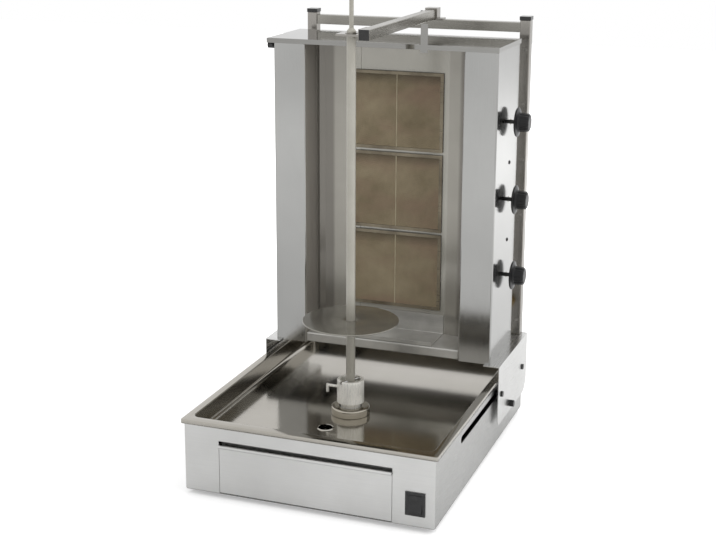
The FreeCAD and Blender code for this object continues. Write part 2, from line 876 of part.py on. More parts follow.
def tower_floor():
    """Floor sheet of the tower with a turned-down front lip."""
    half = wing_inner - seam_gap
    lip_y = wing_front_y + floor_lip_setback
    rear = wing_rear_y - 2 * tower_sheet
    line = [(lip_y + floor_lip_hem, wing_bottom + tower_sheet), (lip_y, wing_bottom + tower_sheet),
            (lip_y, tower_floor_top), (rear, tower_floor_top)]
    return bent_sheet(line, -tower_sheet, "x", -half, half, sheet_bend)


def foot_shelf():
    """Light catch sheet below the burners, with a raised front edge and a back upstand."""
    front = wing_front_y + shelf_setback
    rear = panel_y - 2 * tower_sheet - seam_gap
    half = reflector_root - shelf_side_gap
    low = tower_floor_top
    line = [(front, low + shelf_front_rise), (front, low), (rear, low), (rear, low + shelf_back_rise)]
    return bent_sheet(line, tower_sheet, "x", -half, half, sheet_bend)


def burner_half_sizes():
    """Half width and half height of a burner body."""
    return plaque_half_width() + burner_wall + burner_ledge, field_height / 2 + burner_ledge


def burner_window(z):
    """Space that a burner body takes in the sheets around it."""
    half, high = burner_half_sizes()
    half += seam_gap
    high += seam_gap
    return box((-half, half), (frame_y - 1, panel_y + 1), (z - high, z + high))


def burner_panel():
    """Sheet that the burners stand in, from the floor to the cover."""
    half = wing_inner - seam_gap
    sheet = box((-half, half), (panel_y - tower_sheet, panel_y), (tower_floor_top, cover_under))
    return sheet.cut([burner_window(z) for z in burner_heights])


def reflector_right():
    """Side reflector in three flats beside the burners."""
    y = panel_y - tower_sheet
    line = [(reflector_edge, y), (reflector_root, y), (reflector_knee_x, y - reflector_knee_forward),
            (reflector_shoulder_x, y - reflector_shoulder_forward), (wing_inner, y - reflector_end_forward),
            (wing_inner, y - reflector_end_forward - reflector_flange)]
    sheet = bent_sheet(line, -tower_sheet, "z", tower_floor_top, cover_under)
    return sheet.cut([burner_window(z) for z in burner_heights])


def back_panel():
    """Back of the tower with cooling slots and the gas inlet's hole."""
    half = wing_outer - tower_sheet - seam_gap
    y0, y1 = wing_rear_y - tower_sheet, wing_rear_y
    panel = box((-half, half), (y0, y1), (wing_bottom, cover_under))
    hole_z = up(inlet_height)
    cuts = [rod(inlet_radius + slide_gap, (inlet_x(), y0 - 1, hole_z), (inlet_x(), y1 + 1, hole_z))]
    for burner_z in burner_heights:
        for column in range(back_vent_columns):
            for row in range(back_vent_rows):
                x = (column - (back_vent_columns - 1) / 2) * (vent_length + back_vent_spacing)
                z = burner_z + (row - (back_vent_rows - 1) / 2) * vent_pitch
                cuts.append(box((x - vent_length / 2, x + vent_length / 2), (y0 - 1, y1 + 1),
                                (z - vent_width / 2, z + vent_width / 2)))
    return panel.cut(cuts)


def top_cover():
    """Cover with skirts at the front, right and back, and an overhang at the left."""
    left = -wing_outer - cover_overhang_left
    right = wing_outer + seam_gap + tower_sheet
    y0 = wing_front_y - cover_overhang_front
    y1 = wing_rear_y + seam_gap + tower_sheet
    top = box((left, right), (y0, y1), (cover_under, tower_top))
    front = box((left, right), (y0, y0 + tower_sheet), (tower_top - cover_skirt, tower_top))
    rear = box((left, right), (y1 - tower_sheet, y1), (tower_top - cover_skirt, tower_top))
    side = box((right - tower_sheet, right), (y0, y1), (tower_top - cover_skirt, tower_top))
    lip = box((left, left + tower_sheet), (y0, y1), (tower_top - cover_lip, tower_top))
    tab_ends = (cover_tab_x, cover_tab_x + cover_tab_width)
    tab = box(tab_ends, (y0, y0 + tower_sheet), (tower_top - cover_tab_drop, tower_top + cover_tab_rise))
    return united([top, front, rear, side, lip, tab])


def cover_screw_place():
    return wing_front_y + cover_screw_back, tower_top - cover_screw_down


def cover_screw():
    """Black thumb screw that holds the cover's left side."""
    y, z = cover_screw_place()
    head = slide_gap + cover_screw_collar
    end = head + cover_screw_length
    profile = [(0, -cover_screw_tail), (screw_radius, -cover_screw_tail), (screw_radius, head),
               (cover_screw_head, head), (cover_screw_head, end), (0, end)]
    return turned(profile, (-wing_outer, y, z), (-1, 0, 0))


# Burners

def burner_body(index):
    """Sheet plenum with a ledge for the plaques and a mixing tube to its valve."""
    z = burner_heights[index]
    half_w, half_h = burner_half_sizes()
    front = frame_y + frame_sheet
    rear = front + burner_depth
    shell = box((-half_w, half_w), (front, rear), (z - half_h, z + half_h))
    seat_w = plaque_half_width() + slide_gap
    seat_h = plaque_half_height() + slide_gap
    seat_space = box((-seat_w, seat_w), (front - 1, front + plaque_thickness), (z - seat_h, z + seat_h))
    plenum = box((-seat_w + burner_ledge, seat_w - burner_ledge), (front, rear - burner_wall),
                 (z - seat_h + burner_ledge, z + seat_h - burner_ledge))
    end = valve_left - nozzle_length - nozzle_air_gap
    tube_z = control_heights[index]
    inner = seat_w - burner_ledge - 1
    tube = rod(venturi_radius, (half_w - 1, control_y, tube_z), (end, control_y, tube_z))
    bore = rod(venturi_radius - venturi_wall, (inner, control_y, tube_z), (end + 1, control_y, tube_z))
    return united([shell, tube]).cut([seat_space, plenum, bore])


def plaque_half_width():
    return field_half_width + plaque_cover


def plaque_half_height():
    return field_height / 2 + plaque_cover


def ceramic_plaques():
    """Two ceramic plaques side by side in each burner."""
    pieces = []
    front = frame_y + frame_sheet
    half_h = plaque_half_height()
    for z in burner_heights:
        for ends in ((-plaque_half_width(), -plaque_joint / 2), (plaque_joint / 2, plaque_half_width())):
            pieces.append(box(ends, (front, front + plaque_thickness), (z - half_h, z + half_h)))
    return pieces


def burner_frames():
    """Pressed frame round each burner field."""
    pieces = []
    for z in burner_heights:
        half_w, half_h = field_half_width + frame_border, field_height / 2 + frame_border
        frame = box((-half_w, half_w), (frame_y, frame_y + frame_sheet), (z - half_h, z + half_h))
        window = box((-field_half_width, field_half_width), (frame_y - 1, frame_y + frame_sheet + 1),
                     (z - field_height / 2, z + field_height / 2))
        pieces.append(frame.cut(window))
    return pieces


# Gas train

def inlet_x():
    return (valve_left + valve_right) / 2


def manifold_y():
    return control_y + valve_depth / 2 + port_length + manifold_gap + manifold_radius


def gas_valves():
    """One tap per burner: block, spindle boss, nozzle and port."""
    pieces = []
    x = inlet_x()
    for z in control_heights:
        block = box((valve_left, valve_right), (control_y - valve_depth / 2, control_y + valve_depth / 2),
                    (z - valve_height / 2, z + valve_height / 2))
        boss = rod(valve_boss_radius, (valve_right - 1, control_y, z), (panel_inner, control_y, z))
        nozzle = rod(nozzle_radius, (valve_left + 1, control_y, z), (valve_left - nozzle_length, control_y, z))
        port = rod(port_radius, (x, control_y, z), (x, control_y + valve_depth / 2 + port_length, z))
        bore = rod(stem_radius + fit_gap, (valve_right - stem_in_valve, control_y, z),
                   (panel_inner + 1, control_y, z))
        pieces.append(united([block, boss, nozzle, port]).cut(bore))
    return pieces


def gas_manifold():
    """Upright supply tube behind the taps, closed at both ends."""
    low = up(inlet_height) - manifold_below_inlet
    high = control_heights[-1] + manifold_above_valve
    return rod(manifold_radius, (inlet_x(), manifold_y(), low), (inlet_x(), manifold_y(), high))


def gas_inlet():
    """Threaded inlet pipe from the manifold through the back panel, with a lock nut."""
    x, z = inlet_x(), up(inlet_height)
    start = manifold_y() + manifold_radius + manifold_gap
    end = wing_rear_y + inlet_nut + inlet_projection
    pipe = rod(inlet_radius, (x, start, z), (x, end, z))
    nut = hexagon(inlet_nut_hex, (x, wing_rear_y, z), (0, 1, 0), inlet_nut)
    bore = rod(inlet_radius - inlet_wall, (x, start + inlet_wall, z), (x, end + 1, z))
    return united([pipe, nut]).cut(bore)


def valve_stem(index):
    """Spindle from the tap out through the side panel to the knob."""
    z = control_heights[index]
    inner = valve_right - stem_in_valve + slide_gap
    outer = wing_outer + knob_gap + knob_flange + knob_grip_length - knob_roof - knob_push - slide_gap
    return rod(stem_radius, (inner, control_y, z), (outer, control_y, z))


def knob(index):
    """Black control knob: thin round skirt and a many-sided grip."""
    z = control_heights[index]
    start = wing_outer + knob_gap
    step = start + knob_flange
    end = step + knob_grip_length
    skirt = rod(knob_flange_radius, (start, control_y, z), (step, control_y, z))
    grip = polygon_bar(knob_grip_sides, knob_grip_radius, (step, control_y, z), (1, 0, 0), knob_grip_length)
    bore = rod(stem_radius + fit_gap, (start - 1, control_y, z), (end - knob_roof, control_y, z))
    return united([skirt, grip]).cut(bore)


# Carriage

def roller_places():
    return [back(roller_front), back(roller_rear)]


def side_bracket():
    """Carriage plate with a top flange that carries the tower and a post's foot."""
    y0, y1 = wing_front_y - bracket_front_lead, post_rear_y
    plate = prism([(y0, up(bracket_bottom)), (y1, up(bracket_bottom)), (y1, flange_z), (y0, flange_z)],
                  [bracket_front_radius, bracket_rear_radius, 0, 0], "x", plate_inner, plate_outer)
    flange = box((wing_outer - bracket_under_wing, plate_outer), (y0, y1), (flange_z - base_sheet, flange_z))
    foot = box((post_inner, plate_outer), (wing_rear_y + foot_setback, y1), (flange_z - base_sheet, flange_z))
    holes = [rod(roller_axle_radius + fit_gap, (plate_inner - 1, y, slot_middle),
                 (plate_outer + 1, y, slot_middle)) for y in roller_places()]
    y, z = back(clamp_from_front), up(clamp_height)
    holes.append(rod(clamp_radius + fit_gap, (plate_inner - 1, y, z), (plate_outer + 1, y, z)))
    return united([plate, flange, foot]).cut(holes)


def guide_roller(y):
    """Roller pin through the bracket, running in the base's slot."""
    inner = half_width - roller_inside
    shoulder = plate_inner - slide_gap
    end = plate_outer + roller_head
    profile = [(0, inner), (roller_radius, inner), (roller_radius, shoulder), (roller_axle_radius, shoulder),
               (roller_axle_radius, plate_outer), (roller_head_radius, plate_outer), (roller_head_radius, end),
               (0, end)]
    return turned(profile, (0, y, slot_middle), (1, 0, 0))


def guide_rollers():
    right = [guide_roller(y) for y in roller_places()]
    return right + [mirrored(r) for r in right]


def clamp_bolt():
    """Bolt through the bracket that locks the carriage against the base's side."""
    y, z = back(clamp_from_front), up(clamp_height)
    face = plate_outer + slide_gap
    shank = rod(clamp_radius, (half_width + slide_gap, y, z), (face + 1, y, z))
    head = hexagon(clamp_hex, (face, y, z), (1, 0, 0), clamp_head)
    return united([shank, head])


def post():
    """Square tube post on the bracket's foot."""
    return square_tube((post_inner, post_outer), (post_front_y, post_rear_y), (flange_z, post_top),
                       post_wall, "z")


def post_cap():
    """Push-in cap of a post."""
    x = (post_inner - cap_proud, post_outer + cap_proud)
    y = (post_front_y - cap_proud, post_rear_y + cap_proud)
    head = box(x, y, (post_top, post_top + cap_height))
    inset = post_wall + slide_gap
    plug = box((post_inner + inset, post_outer - inset), (post_front_y + inset, post_rear_y - inset),
               (post_top - cap_plug, post_top))
    return united([head, plug])


def crossbar():
    """Square tube between the two posts."""
    return square_tube((-post_inner, post_inner), (bar_y, bar_y + bar_size), (bar_top - bar_size, bar_top),
                       post_wall, "x")


# Top arm

def arm_clamp():
    """Saddle on the crossbar that the arm slides through."""
    inner = arm_size / 2 + slide_gap
    outer = inner + saddle_wall
    roof = arm_bottom + arm_size + slide_gap
    middle = bar_y + bar_size / 2
    y = (middle - saddle_depth / 2, middle + saddle_depth / 2)
    saddle = box((arm_x - outer, arm_x + outer), y, (bar_top, roof + saddle_wall))
    saddle = saddle.cut(box((arm_x - inner, arm_x + inner), (y[0] - 1, y[1] + 1), (bar_top - 1, roof)))
    feet_plates = [box((arm_x - outer - saddle_foot, arm_x - outer), y, (bar_top, bar_top + saddle_wall)),
                   box((arm_x + outer, arm_x + outer + saddle_foot), y, (bar_top, bar_top + saddle_wall))]
    hole = rod(screw_radius + fit_gap, (arm_x, middle, arm_middle()), (arm_x - 2 * outer, middle, arm_middle()))
    return united([saddle] + feet_plates).cut(hole)


def arm_middle():
    return arm_bottom + arm_size / 2


def arm_screw():
    """Clamp screw in the saddle's left side."""
    middle = bar_y + bar_size / 2
    tip = slide_gap
    face = tip + saddle_wall + 2 * slide_gap
    end = face + arm_screw_head_length
    profile = [(0, tip), (screw_radius, tip), (screw_radius, face), (arm_screw_head, face),
               (arm_screw_head, end), (0, end)]
    return turned(profile, (arm_left, middle, arm_middle()), (-1, 0, 0))


def spit_arm():
    """Square tube arm, from above the crossbar to the spit."""
    return square_tube((arm_left, arm_right), (arm_front_y + arm_plug, arm_rear_y - arm_plug),
                       (arm_bottom, arm_bottom + arm_size), arm_wall, "y")


def arm_plugs():
    """Push-in end plugs of the arm."""
    inset = arm_wall + slide_gap
    z = (arm_bottom, arm_bottom + arm_size)
    pieces = []
    for end, way in ((arm_front_y, 1), (arm_rear_y, -1)):
        head = box((arm_left, arm_right), (end, end + way * arm_plug), z)
        stem = box((arm_left + inset, arm_right - inset), (end, end + way * (arm_plug + arm_plug_stem)),
                   (z[0] + inset, z[1] - inset))
        pieces.append(united([head, stem]))
    return pieces


def arm_bush():
    """Bush round the spit's top, on a bracket at the arm's side."""
    inner = rod_radius + 2 * fit_gap
    bush = rod(bush_radius, (0, drive_y, bush_bottom), (0, drive_y, bush_top))
    low = bush_bottom + bush_plate_rise
    depth = (drive_y - bush_plate_half, drive_y + bush_plate_half)
    plate = box((-bush_plate_left, arm_left), depth, (low, low + bush_plate))
    flange = box((arm_left - bush_flange, arm_left), depth, (arm_bottom, arm_bottom + arm_size))
    bore = rod(inner, (0, drive_y, bush_bottom - 1), (0, drive_y, bush_top + 1))
    return united([bush, plate, flange]).cut(bore)


def main():
    os.makedirs("parts", exist_ok=True)
    save("base_wrap", base_wrap())
    save("base_front", base_front())
    save("base_bottom", base_bottom())
    save("feet", *feet())
    save("drip_pan", drip_pan())
    save("pan_collar", pan_collar())
    save("drawer_runners", *drawer_runners())
    save("drawer_front", drawer_front())
    save("drawer_tray", drawer_tray())
    save("switch_bezel", switch_bezel())
    save("switch_rocker", switch_rocker())
    save("cable_gland", cable_gland())
    save("motor_bracket", motor_bracket())
    save("gear_motor", gear_motor())
    save("shaft_bearing", shaft_bearing())
    save("drive_shaft", drive_shaft())
    save("drive_cup", drive_cup())
    save("cup_screw", cup_screw())
    save("spit_rod", spit_rod())
    save("spit_pin", spit_pin())
    save("meat_disc", meat_disc())
    save("disc_screw", disc_screw())
    save("wing_left", wing_left())
    save("wing_right", wing_right())
    save("tower_floor", tower_floor())
    save("foot_shelf", foot_shelf())
    save("burner_panel", burner_panel())
    save("reflector_left", mirrored(reflector_right()))
    save("reflector_right", reflector_right())
    save("back_panel", back_panel())
    save("top_cover", top_cover())
    save("cover_screw", cover_screw())
    for i in range(burner_count):
        save("burner_body_" + str(i + 1), burner_body(i))
    save("ceramic_plaques", *ceramic_plaques())
    save("burner_frames", *burner_frames())
    save("gas_valves", *gas_valves())
    save("gas_manifold", gas_manifold())
    save("gas_inlet", gas_inlet())
    for i in range(burner_count):
        save("valve_stem_" + str(i + 1), valve_stem(i))
        save("knob_" + str(i + 1), knob(i))
    save("side_bracket_left", mirrored(side_bracket()))
    save("side_bracket_right", side_bracket())
    save("guide_rollers", *guide_rollers())
    save("clamp_bolt_left", mirrored(clamp_bolt()))
    save("clamp_bolt_right", clamp_bolt())
    save("post_left", mirrored(post()))
    save("post_right", post())
    save("post_caps", post_cap(), mirrored(post_cap()))
    save("crossbar", crossbar())
    save("arm_clamp", arm_clamp())
    save("arm_screw", arm_screw())
    save("spit_arm", spit_arm())
    save("arm_plugs", *arm_plugs())
    save("arm_bush", arm_bush())


main()
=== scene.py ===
import math
import bmesh
import bpy
from mathutils import Matrix, Vector


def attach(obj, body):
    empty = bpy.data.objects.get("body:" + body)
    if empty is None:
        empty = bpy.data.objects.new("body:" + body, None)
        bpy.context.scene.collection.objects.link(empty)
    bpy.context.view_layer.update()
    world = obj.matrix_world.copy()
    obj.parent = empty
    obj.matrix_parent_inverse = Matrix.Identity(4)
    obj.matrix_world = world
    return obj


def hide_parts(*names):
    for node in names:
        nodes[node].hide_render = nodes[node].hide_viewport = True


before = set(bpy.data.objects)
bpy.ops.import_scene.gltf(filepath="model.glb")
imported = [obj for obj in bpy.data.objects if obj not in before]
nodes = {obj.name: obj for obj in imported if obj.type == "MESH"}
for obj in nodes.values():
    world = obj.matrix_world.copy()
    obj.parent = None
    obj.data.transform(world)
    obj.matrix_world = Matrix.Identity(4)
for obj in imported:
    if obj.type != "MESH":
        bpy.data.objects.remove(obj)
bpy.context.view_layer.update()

scene = bpy.context.scene


# material helpers
def newMaterial(name):
    mat = bpy.data.materials.new(name)
    mat.use_nodes = True
    tree = mat.node_tree
    return mat, tree, tree.nodes["Principled BSDF"]


def addNode(tree, kind, **values):
    node = tree.nodes.new(kind)
    for key, value in values.items():
        setattr(node, key, value)
    return node


def objectSpace(tree, scale=(1, 1, 1), turn=(0, 0, 0)):
    coords = addNode(tree, "ShaderNodeTexCoord")
    mapping = addNode(tree, "ShaderNodeMapping")
    mapping.inputs["Scale"].default_value = scale
    mapping.inputs["Rotation"].default_value = turn
    tree.links.new(coords.outputs["Object"], mapping.inputs["Vector"])
    return mapping.outputs["Vector"]


def noiseAt(tree, vector, scale, detail=4.0, rough=0.55):
    noise = addNode(tree, "ShaderNodeTexNoise")
    noise.inputs["Scale"].default_value = scale
    noise.inputs["Detail"].default_value = detail
    noise.inputs["Roughness"].default_value = rough
    tree.links.new(vector, noise.inputs["Vector"])
    return noise.outputs["Fac"]


def rangeOf(tree, value, low, high, fromLow=0.3, fromHigh=0.7):
    node = addNode(tree, "ShaderNodeMapRange")
    node.inputs["From Min"].default_value = fromLow
    node.inputs["From Max"].default_value = fromHigh
    node.inputs["To Min"].default_value = low
    node.inputs["To Max"].default_value = high
    tree.links.new(value, node.inputs["Value"])
    return node.outputs["Result"]


def blendOf(tree, factor, first, second):
    node = addNode(tree, "ShaderNodeMix", data_type="RGBA")
    inputs = [s for s in node.inputs if s.type == "RGBA"]
    for socket, value in zip(inputs, (first, second)):
        if isinstance(value, tuple):
            socket.default_value = (*value, 1.0)
        else:
            tree.links.new(value, socket)
    if isinstance(factor, float):
        node.inputs[0].default_value = factor
    else:
        tree.links.new(factor, node.inputs[0])
    return [s for s in node.outputs if s.type == "RGBA"][0]


def maths(tree, operation, first, second=None):
    node = addNode(tree, "ShaderNodeMath", operation=operation)
    for socket, value in zip(node.inputs, (first, second)):
        if isinstance(value, (int, float)):
            socket.default_value = value
        elif value is not None:
            tree.links.new(value, socket)
    return node.outputs[0]


def bumpOf(tree, height, strength, distance, under=None):
    node = addNode(tree, "ShaderNodeBump")
    node.inputs["Strength"].default_value = strength
    node.inputs["Distance"].default_value = distance
    tree.links.new(height, node.inputs["Height"])
    if under is not None:
        tree.links.new(under, node.inputs["Normal"])
    return node.outputs["Normal"]


# camera at the photo's angle, worked out from the photo's own lines
photo = {
    "width": 716,
    "height": 540,
    "focalPixels": 1398.4,
    "centreX": 346.4,
    "centreY": 229.9,
    "place": (0.9158, -2.5441, 1.1643),
    "yaw": 20.68,
    "pitch": -14.42,
    "roll": -0.09,
}


def makeCamera():
    data = bpy.data.cameras.new("camera")
    data.sensor_width = 36.0
    data.lens = photo["focalPixels"] / photo["width"] * data.sensor_width
    data.shift_x = (photo["width"] / 2 - photo["centreX"]) / photo["width"]
    data.shift_y = (photo["centreY"] - photo["height"] / 2) / photo["width"]
    camera = bpy.data.objects.new("camera", data)
    camera.location = photo["place"]
    tilt = (90 + photo["pitch"], photo["roll"], photo["yaw"])
    camera.rotation_euler = [math.radians(angle) for angle in tilt]
    scene.collection.objects.link(camera)
    scene.camera = camera


# soft white studio; its lamps light the object but are not mirrored in the steel
studio = {
    "floorSize": 14.0,
    "floorColour": (0.8, 0.8, 0.8, 1.0),
    "floorRough": 0.9,
    "floorShine": 0.1,
    "white": (1.0, 1.0, 1.0, 1.0),
    "glowNear": 0.34,
    "glowFar": 1.0,
    "fadeFrom": 0.55,
    "fadeTo": 1.3,
    "glossGlow": 0.42,
    "glossFrom": 1.2,
    "glossTo": 3.2,
    "worldFill": 0.62,
    "lampAim": (0.0, 0.0, 0.45),
    "lamps": [
        {"name": "keyLamp", "place": (-1.5, -2.4, 2.8), "size": 1.6, "power": 30.0},
        {"name": "sideLamp", "place": (2.6, -0.6, 2.0), "size": 1.6, "power": 34.0},
        {"name": "floorLamp", "place": (1.6, 3.0, 2.4), "size": 2.0, "power": 60.0, "aim": (1.0, 2.4, 0.0)},
        {"name": "topLamp", "place": (0.1, 0.6, 3.0), "size": 2.2, "power": 30.0},
    ],
}


# 1 for what the camera, a shiny surface or a clear one sees
def seenDirectly(tree):
    path = addNode(tree, "ShaderNodeLightPath")
    shiny = maths(tree, "MAXIMUM", path.outputs["Is Glossy Ray"], path.outputs["Is Transmission Ray"])
    return maths(tree, "MAXIMUM", path.outputs["Is Camera Ray"], shiny)


# pale floor: it holds the shadow near the object, runs out to white for the camera
# and glows a little, far off, in shiny surfaces
def floorPaint():
    mat, tree, shader = newMaterial("floorPaint")
    shader.inputs["Base Color"].default_value = studio["floorColour"]
    shader.inputs["Roughness"].default_value = studio["floorRough"]
    shader.inputs["Specular IOR Level"].default_value = studio["floorShine"]
    reach = addNode(tree, "ShaderNodeVectorMath", operation="LENGTH")
    tree.links.new(objectSpace(tree), reach.inputs[0])
    glow = rangeOf(tree, reach.outputs["Value"], studio["glowNear"], studio["glowFar"],
                   studio["fadeFrom"], studio["fadeTo"])
    shader.inputs["Emission Color"].default_value = studio["white"]
    path = addNode(tree, "ShaderNodeLightPath")
    forGloss = rangeOf(tree, reach.outputs["Value"], 0.0, studio["glossGlow"],
                       studio["glossFrom"], studio["glossTo"])
    direct = maths(tree, "MULTIPLY", glow, path.outputs["Is Camera Ray"])
    mirrored = maths(tree, "MULTIPLY", forGloss, path.outputs["Is Glossy Ray"])
    tree.links.new(maths(tree, "ADD", direct, mirrored), shader.inputs["Emission Strength"])
    return mat


def makeStudio():
    bpy.ops.mesh.primitive_plane_add(size=studio["floorSize"])
    floor = bpy.context.object
    floor.name = "floor"
    floor.data.materials.append(floorPaint())
    world = bpy.data.worlds.new("studio")
    scene.world = world
    world.use_nodes = True
    tree = world.node_tree
    tree.nodes.clear()
    back = addNode(tree, "ShaderNodeBackground")
    back.inputs["Color"].default_value = studio["white"]
    strength = rangeOf(tree, seenDirectly(tree), studio["worldFill"], 1.0, 0.0, 1.0)
    tree.links.new(strength, back.inputs["Strength"])
    out = addNode(tree, "ShaderNodeOutputWorld")
    tree.links.new(back.outputs[0], out.inputs["Surface"])
    for lamp in studio["lamps"]:
        data = bpy.data.lights.new(lamp["name"], "AREA")
        data.size = lamp["size"]
        data.energy = lamp["power"]
        obj = bpy.data.objects.new(lamp["name"], data)
        obj.location = lamp["place"]
        obj.visible_glossy = False
        aim = Vector(lamp.get("aim", studio["lampAim"])) - obj.location
        obj.rotation_euler = aim.to_track_quat("-Z", "Y").to_euler()
        scene.collection.objects.link(obj)
    scene.view_settings.view_transform = "Standard"


makeCamera()
makeStudio()
print("camera and studio ready")


# 1 on the faces that look at the burners, which the wing sheet paints darker and duller: painted shade, partly
# heat tint
def innerMask(tree, inner):
    parts = addNode(tree, "ShaderNodeSeparateXYZ")
    tree.links.new(objectSpace(tree), parts.inputs[0])
    near = maths(tree, "LESS_THAN", maths(tree, "ABSOLUTE", parts.outputs["X"]), inner["halfX"])
    behind = maths(tree, "GREATER_THAN", parts.outputs["Y"], inner["frontY"])
    return maths(tree, "MULTIPLY", near, behind)


# the reflectors are painted darker at each fold away from the burners, the same on both sides: painted shade
# towards the wings, not heat
def paintedFoldShade(tree, colour, shadedFolds):
    parts = addNode(tree, "ShaderNodeSeparateXYZ")
    tree.links.new(objectSpace(tree), parts.inputs[0])
    across = maths(tree, "ABSOLUTE", parts.outputs["X"])
    for fold in shadedFolds:
        low, high = fold["atX"] - fold["soft"], fold["atX"] + fold["soft"]
        past = rangeOf(tree, across, 0.0, fold["amount"], low, high)
        colour = blendOf(tree, past, colour, fold["colour"])
    return colour


# depths of the bumps, in metres
waveDepth = 0.002
grainDepth = 0.0002
pebbleDepth = 0.0003


# rolled stainless sheet: fine grain along one axis, soft waves and a few smudges
def steelSheet(name, look):
    mat, tree, shader = newMaterial(name)
    shader.inputs["Metallic"].default_value = look.get("metal", 1.0)
    grainScale = [look["grain"]] * 3
    grainScale["xyz".index(look["along"])] = look["grain"] * look["stretch"]
    grain = noiseAt(tree, objectSpace(tree, tuple(grainScale)), 1.0, 3.0, 0.6)
    smudge = noiseAt(tree, objectSpace(tree), look["smudge"], 5.0, 0.6)
    shade = blendOf(tree, rangeOf(tree, smudge, 0.0, 1.0), look["dark"], look["light"])
    fine = blendOf(tree, rangeOf(tree, grain, 0.0, look["grainTint"]), shade, look["dark"])
    rough = rangeOf(tree, grain, look["rough"][0], look["rough"][1])
    # the inner faces get a darker colour and less metal: painted shade, partly heat tint
    if "inner" in look:
        mask = innerMask(tree, look["inner"])
        fine = blendOf(tree, mask, fine, look["inner"]["colour"])
        metal = rangeOf(tree, mask, 1.0, look["inner"]["metal"], 0.0, 1.0)
        tree.links.new(metal, shader.inputs["Metallic"])
    # painted shade: the strips past each reflector fold get darker
    if "shadedFolds" in look:
        fine = paintedFoldShade(tree, fine, look["shadedFolds"])
    tree.links.new(fine, shader.inputs["Base Color"])
    tree.links.new(rough, shader.inputs["Roughness"])
    wave = bumpOf(tree, smudge, look["wave"], waveDepth)
    tree.links.new(bumpOf(tree, grain, look["bump"], grainDepth, wave), shader.inputs["Normal"])
    return mat


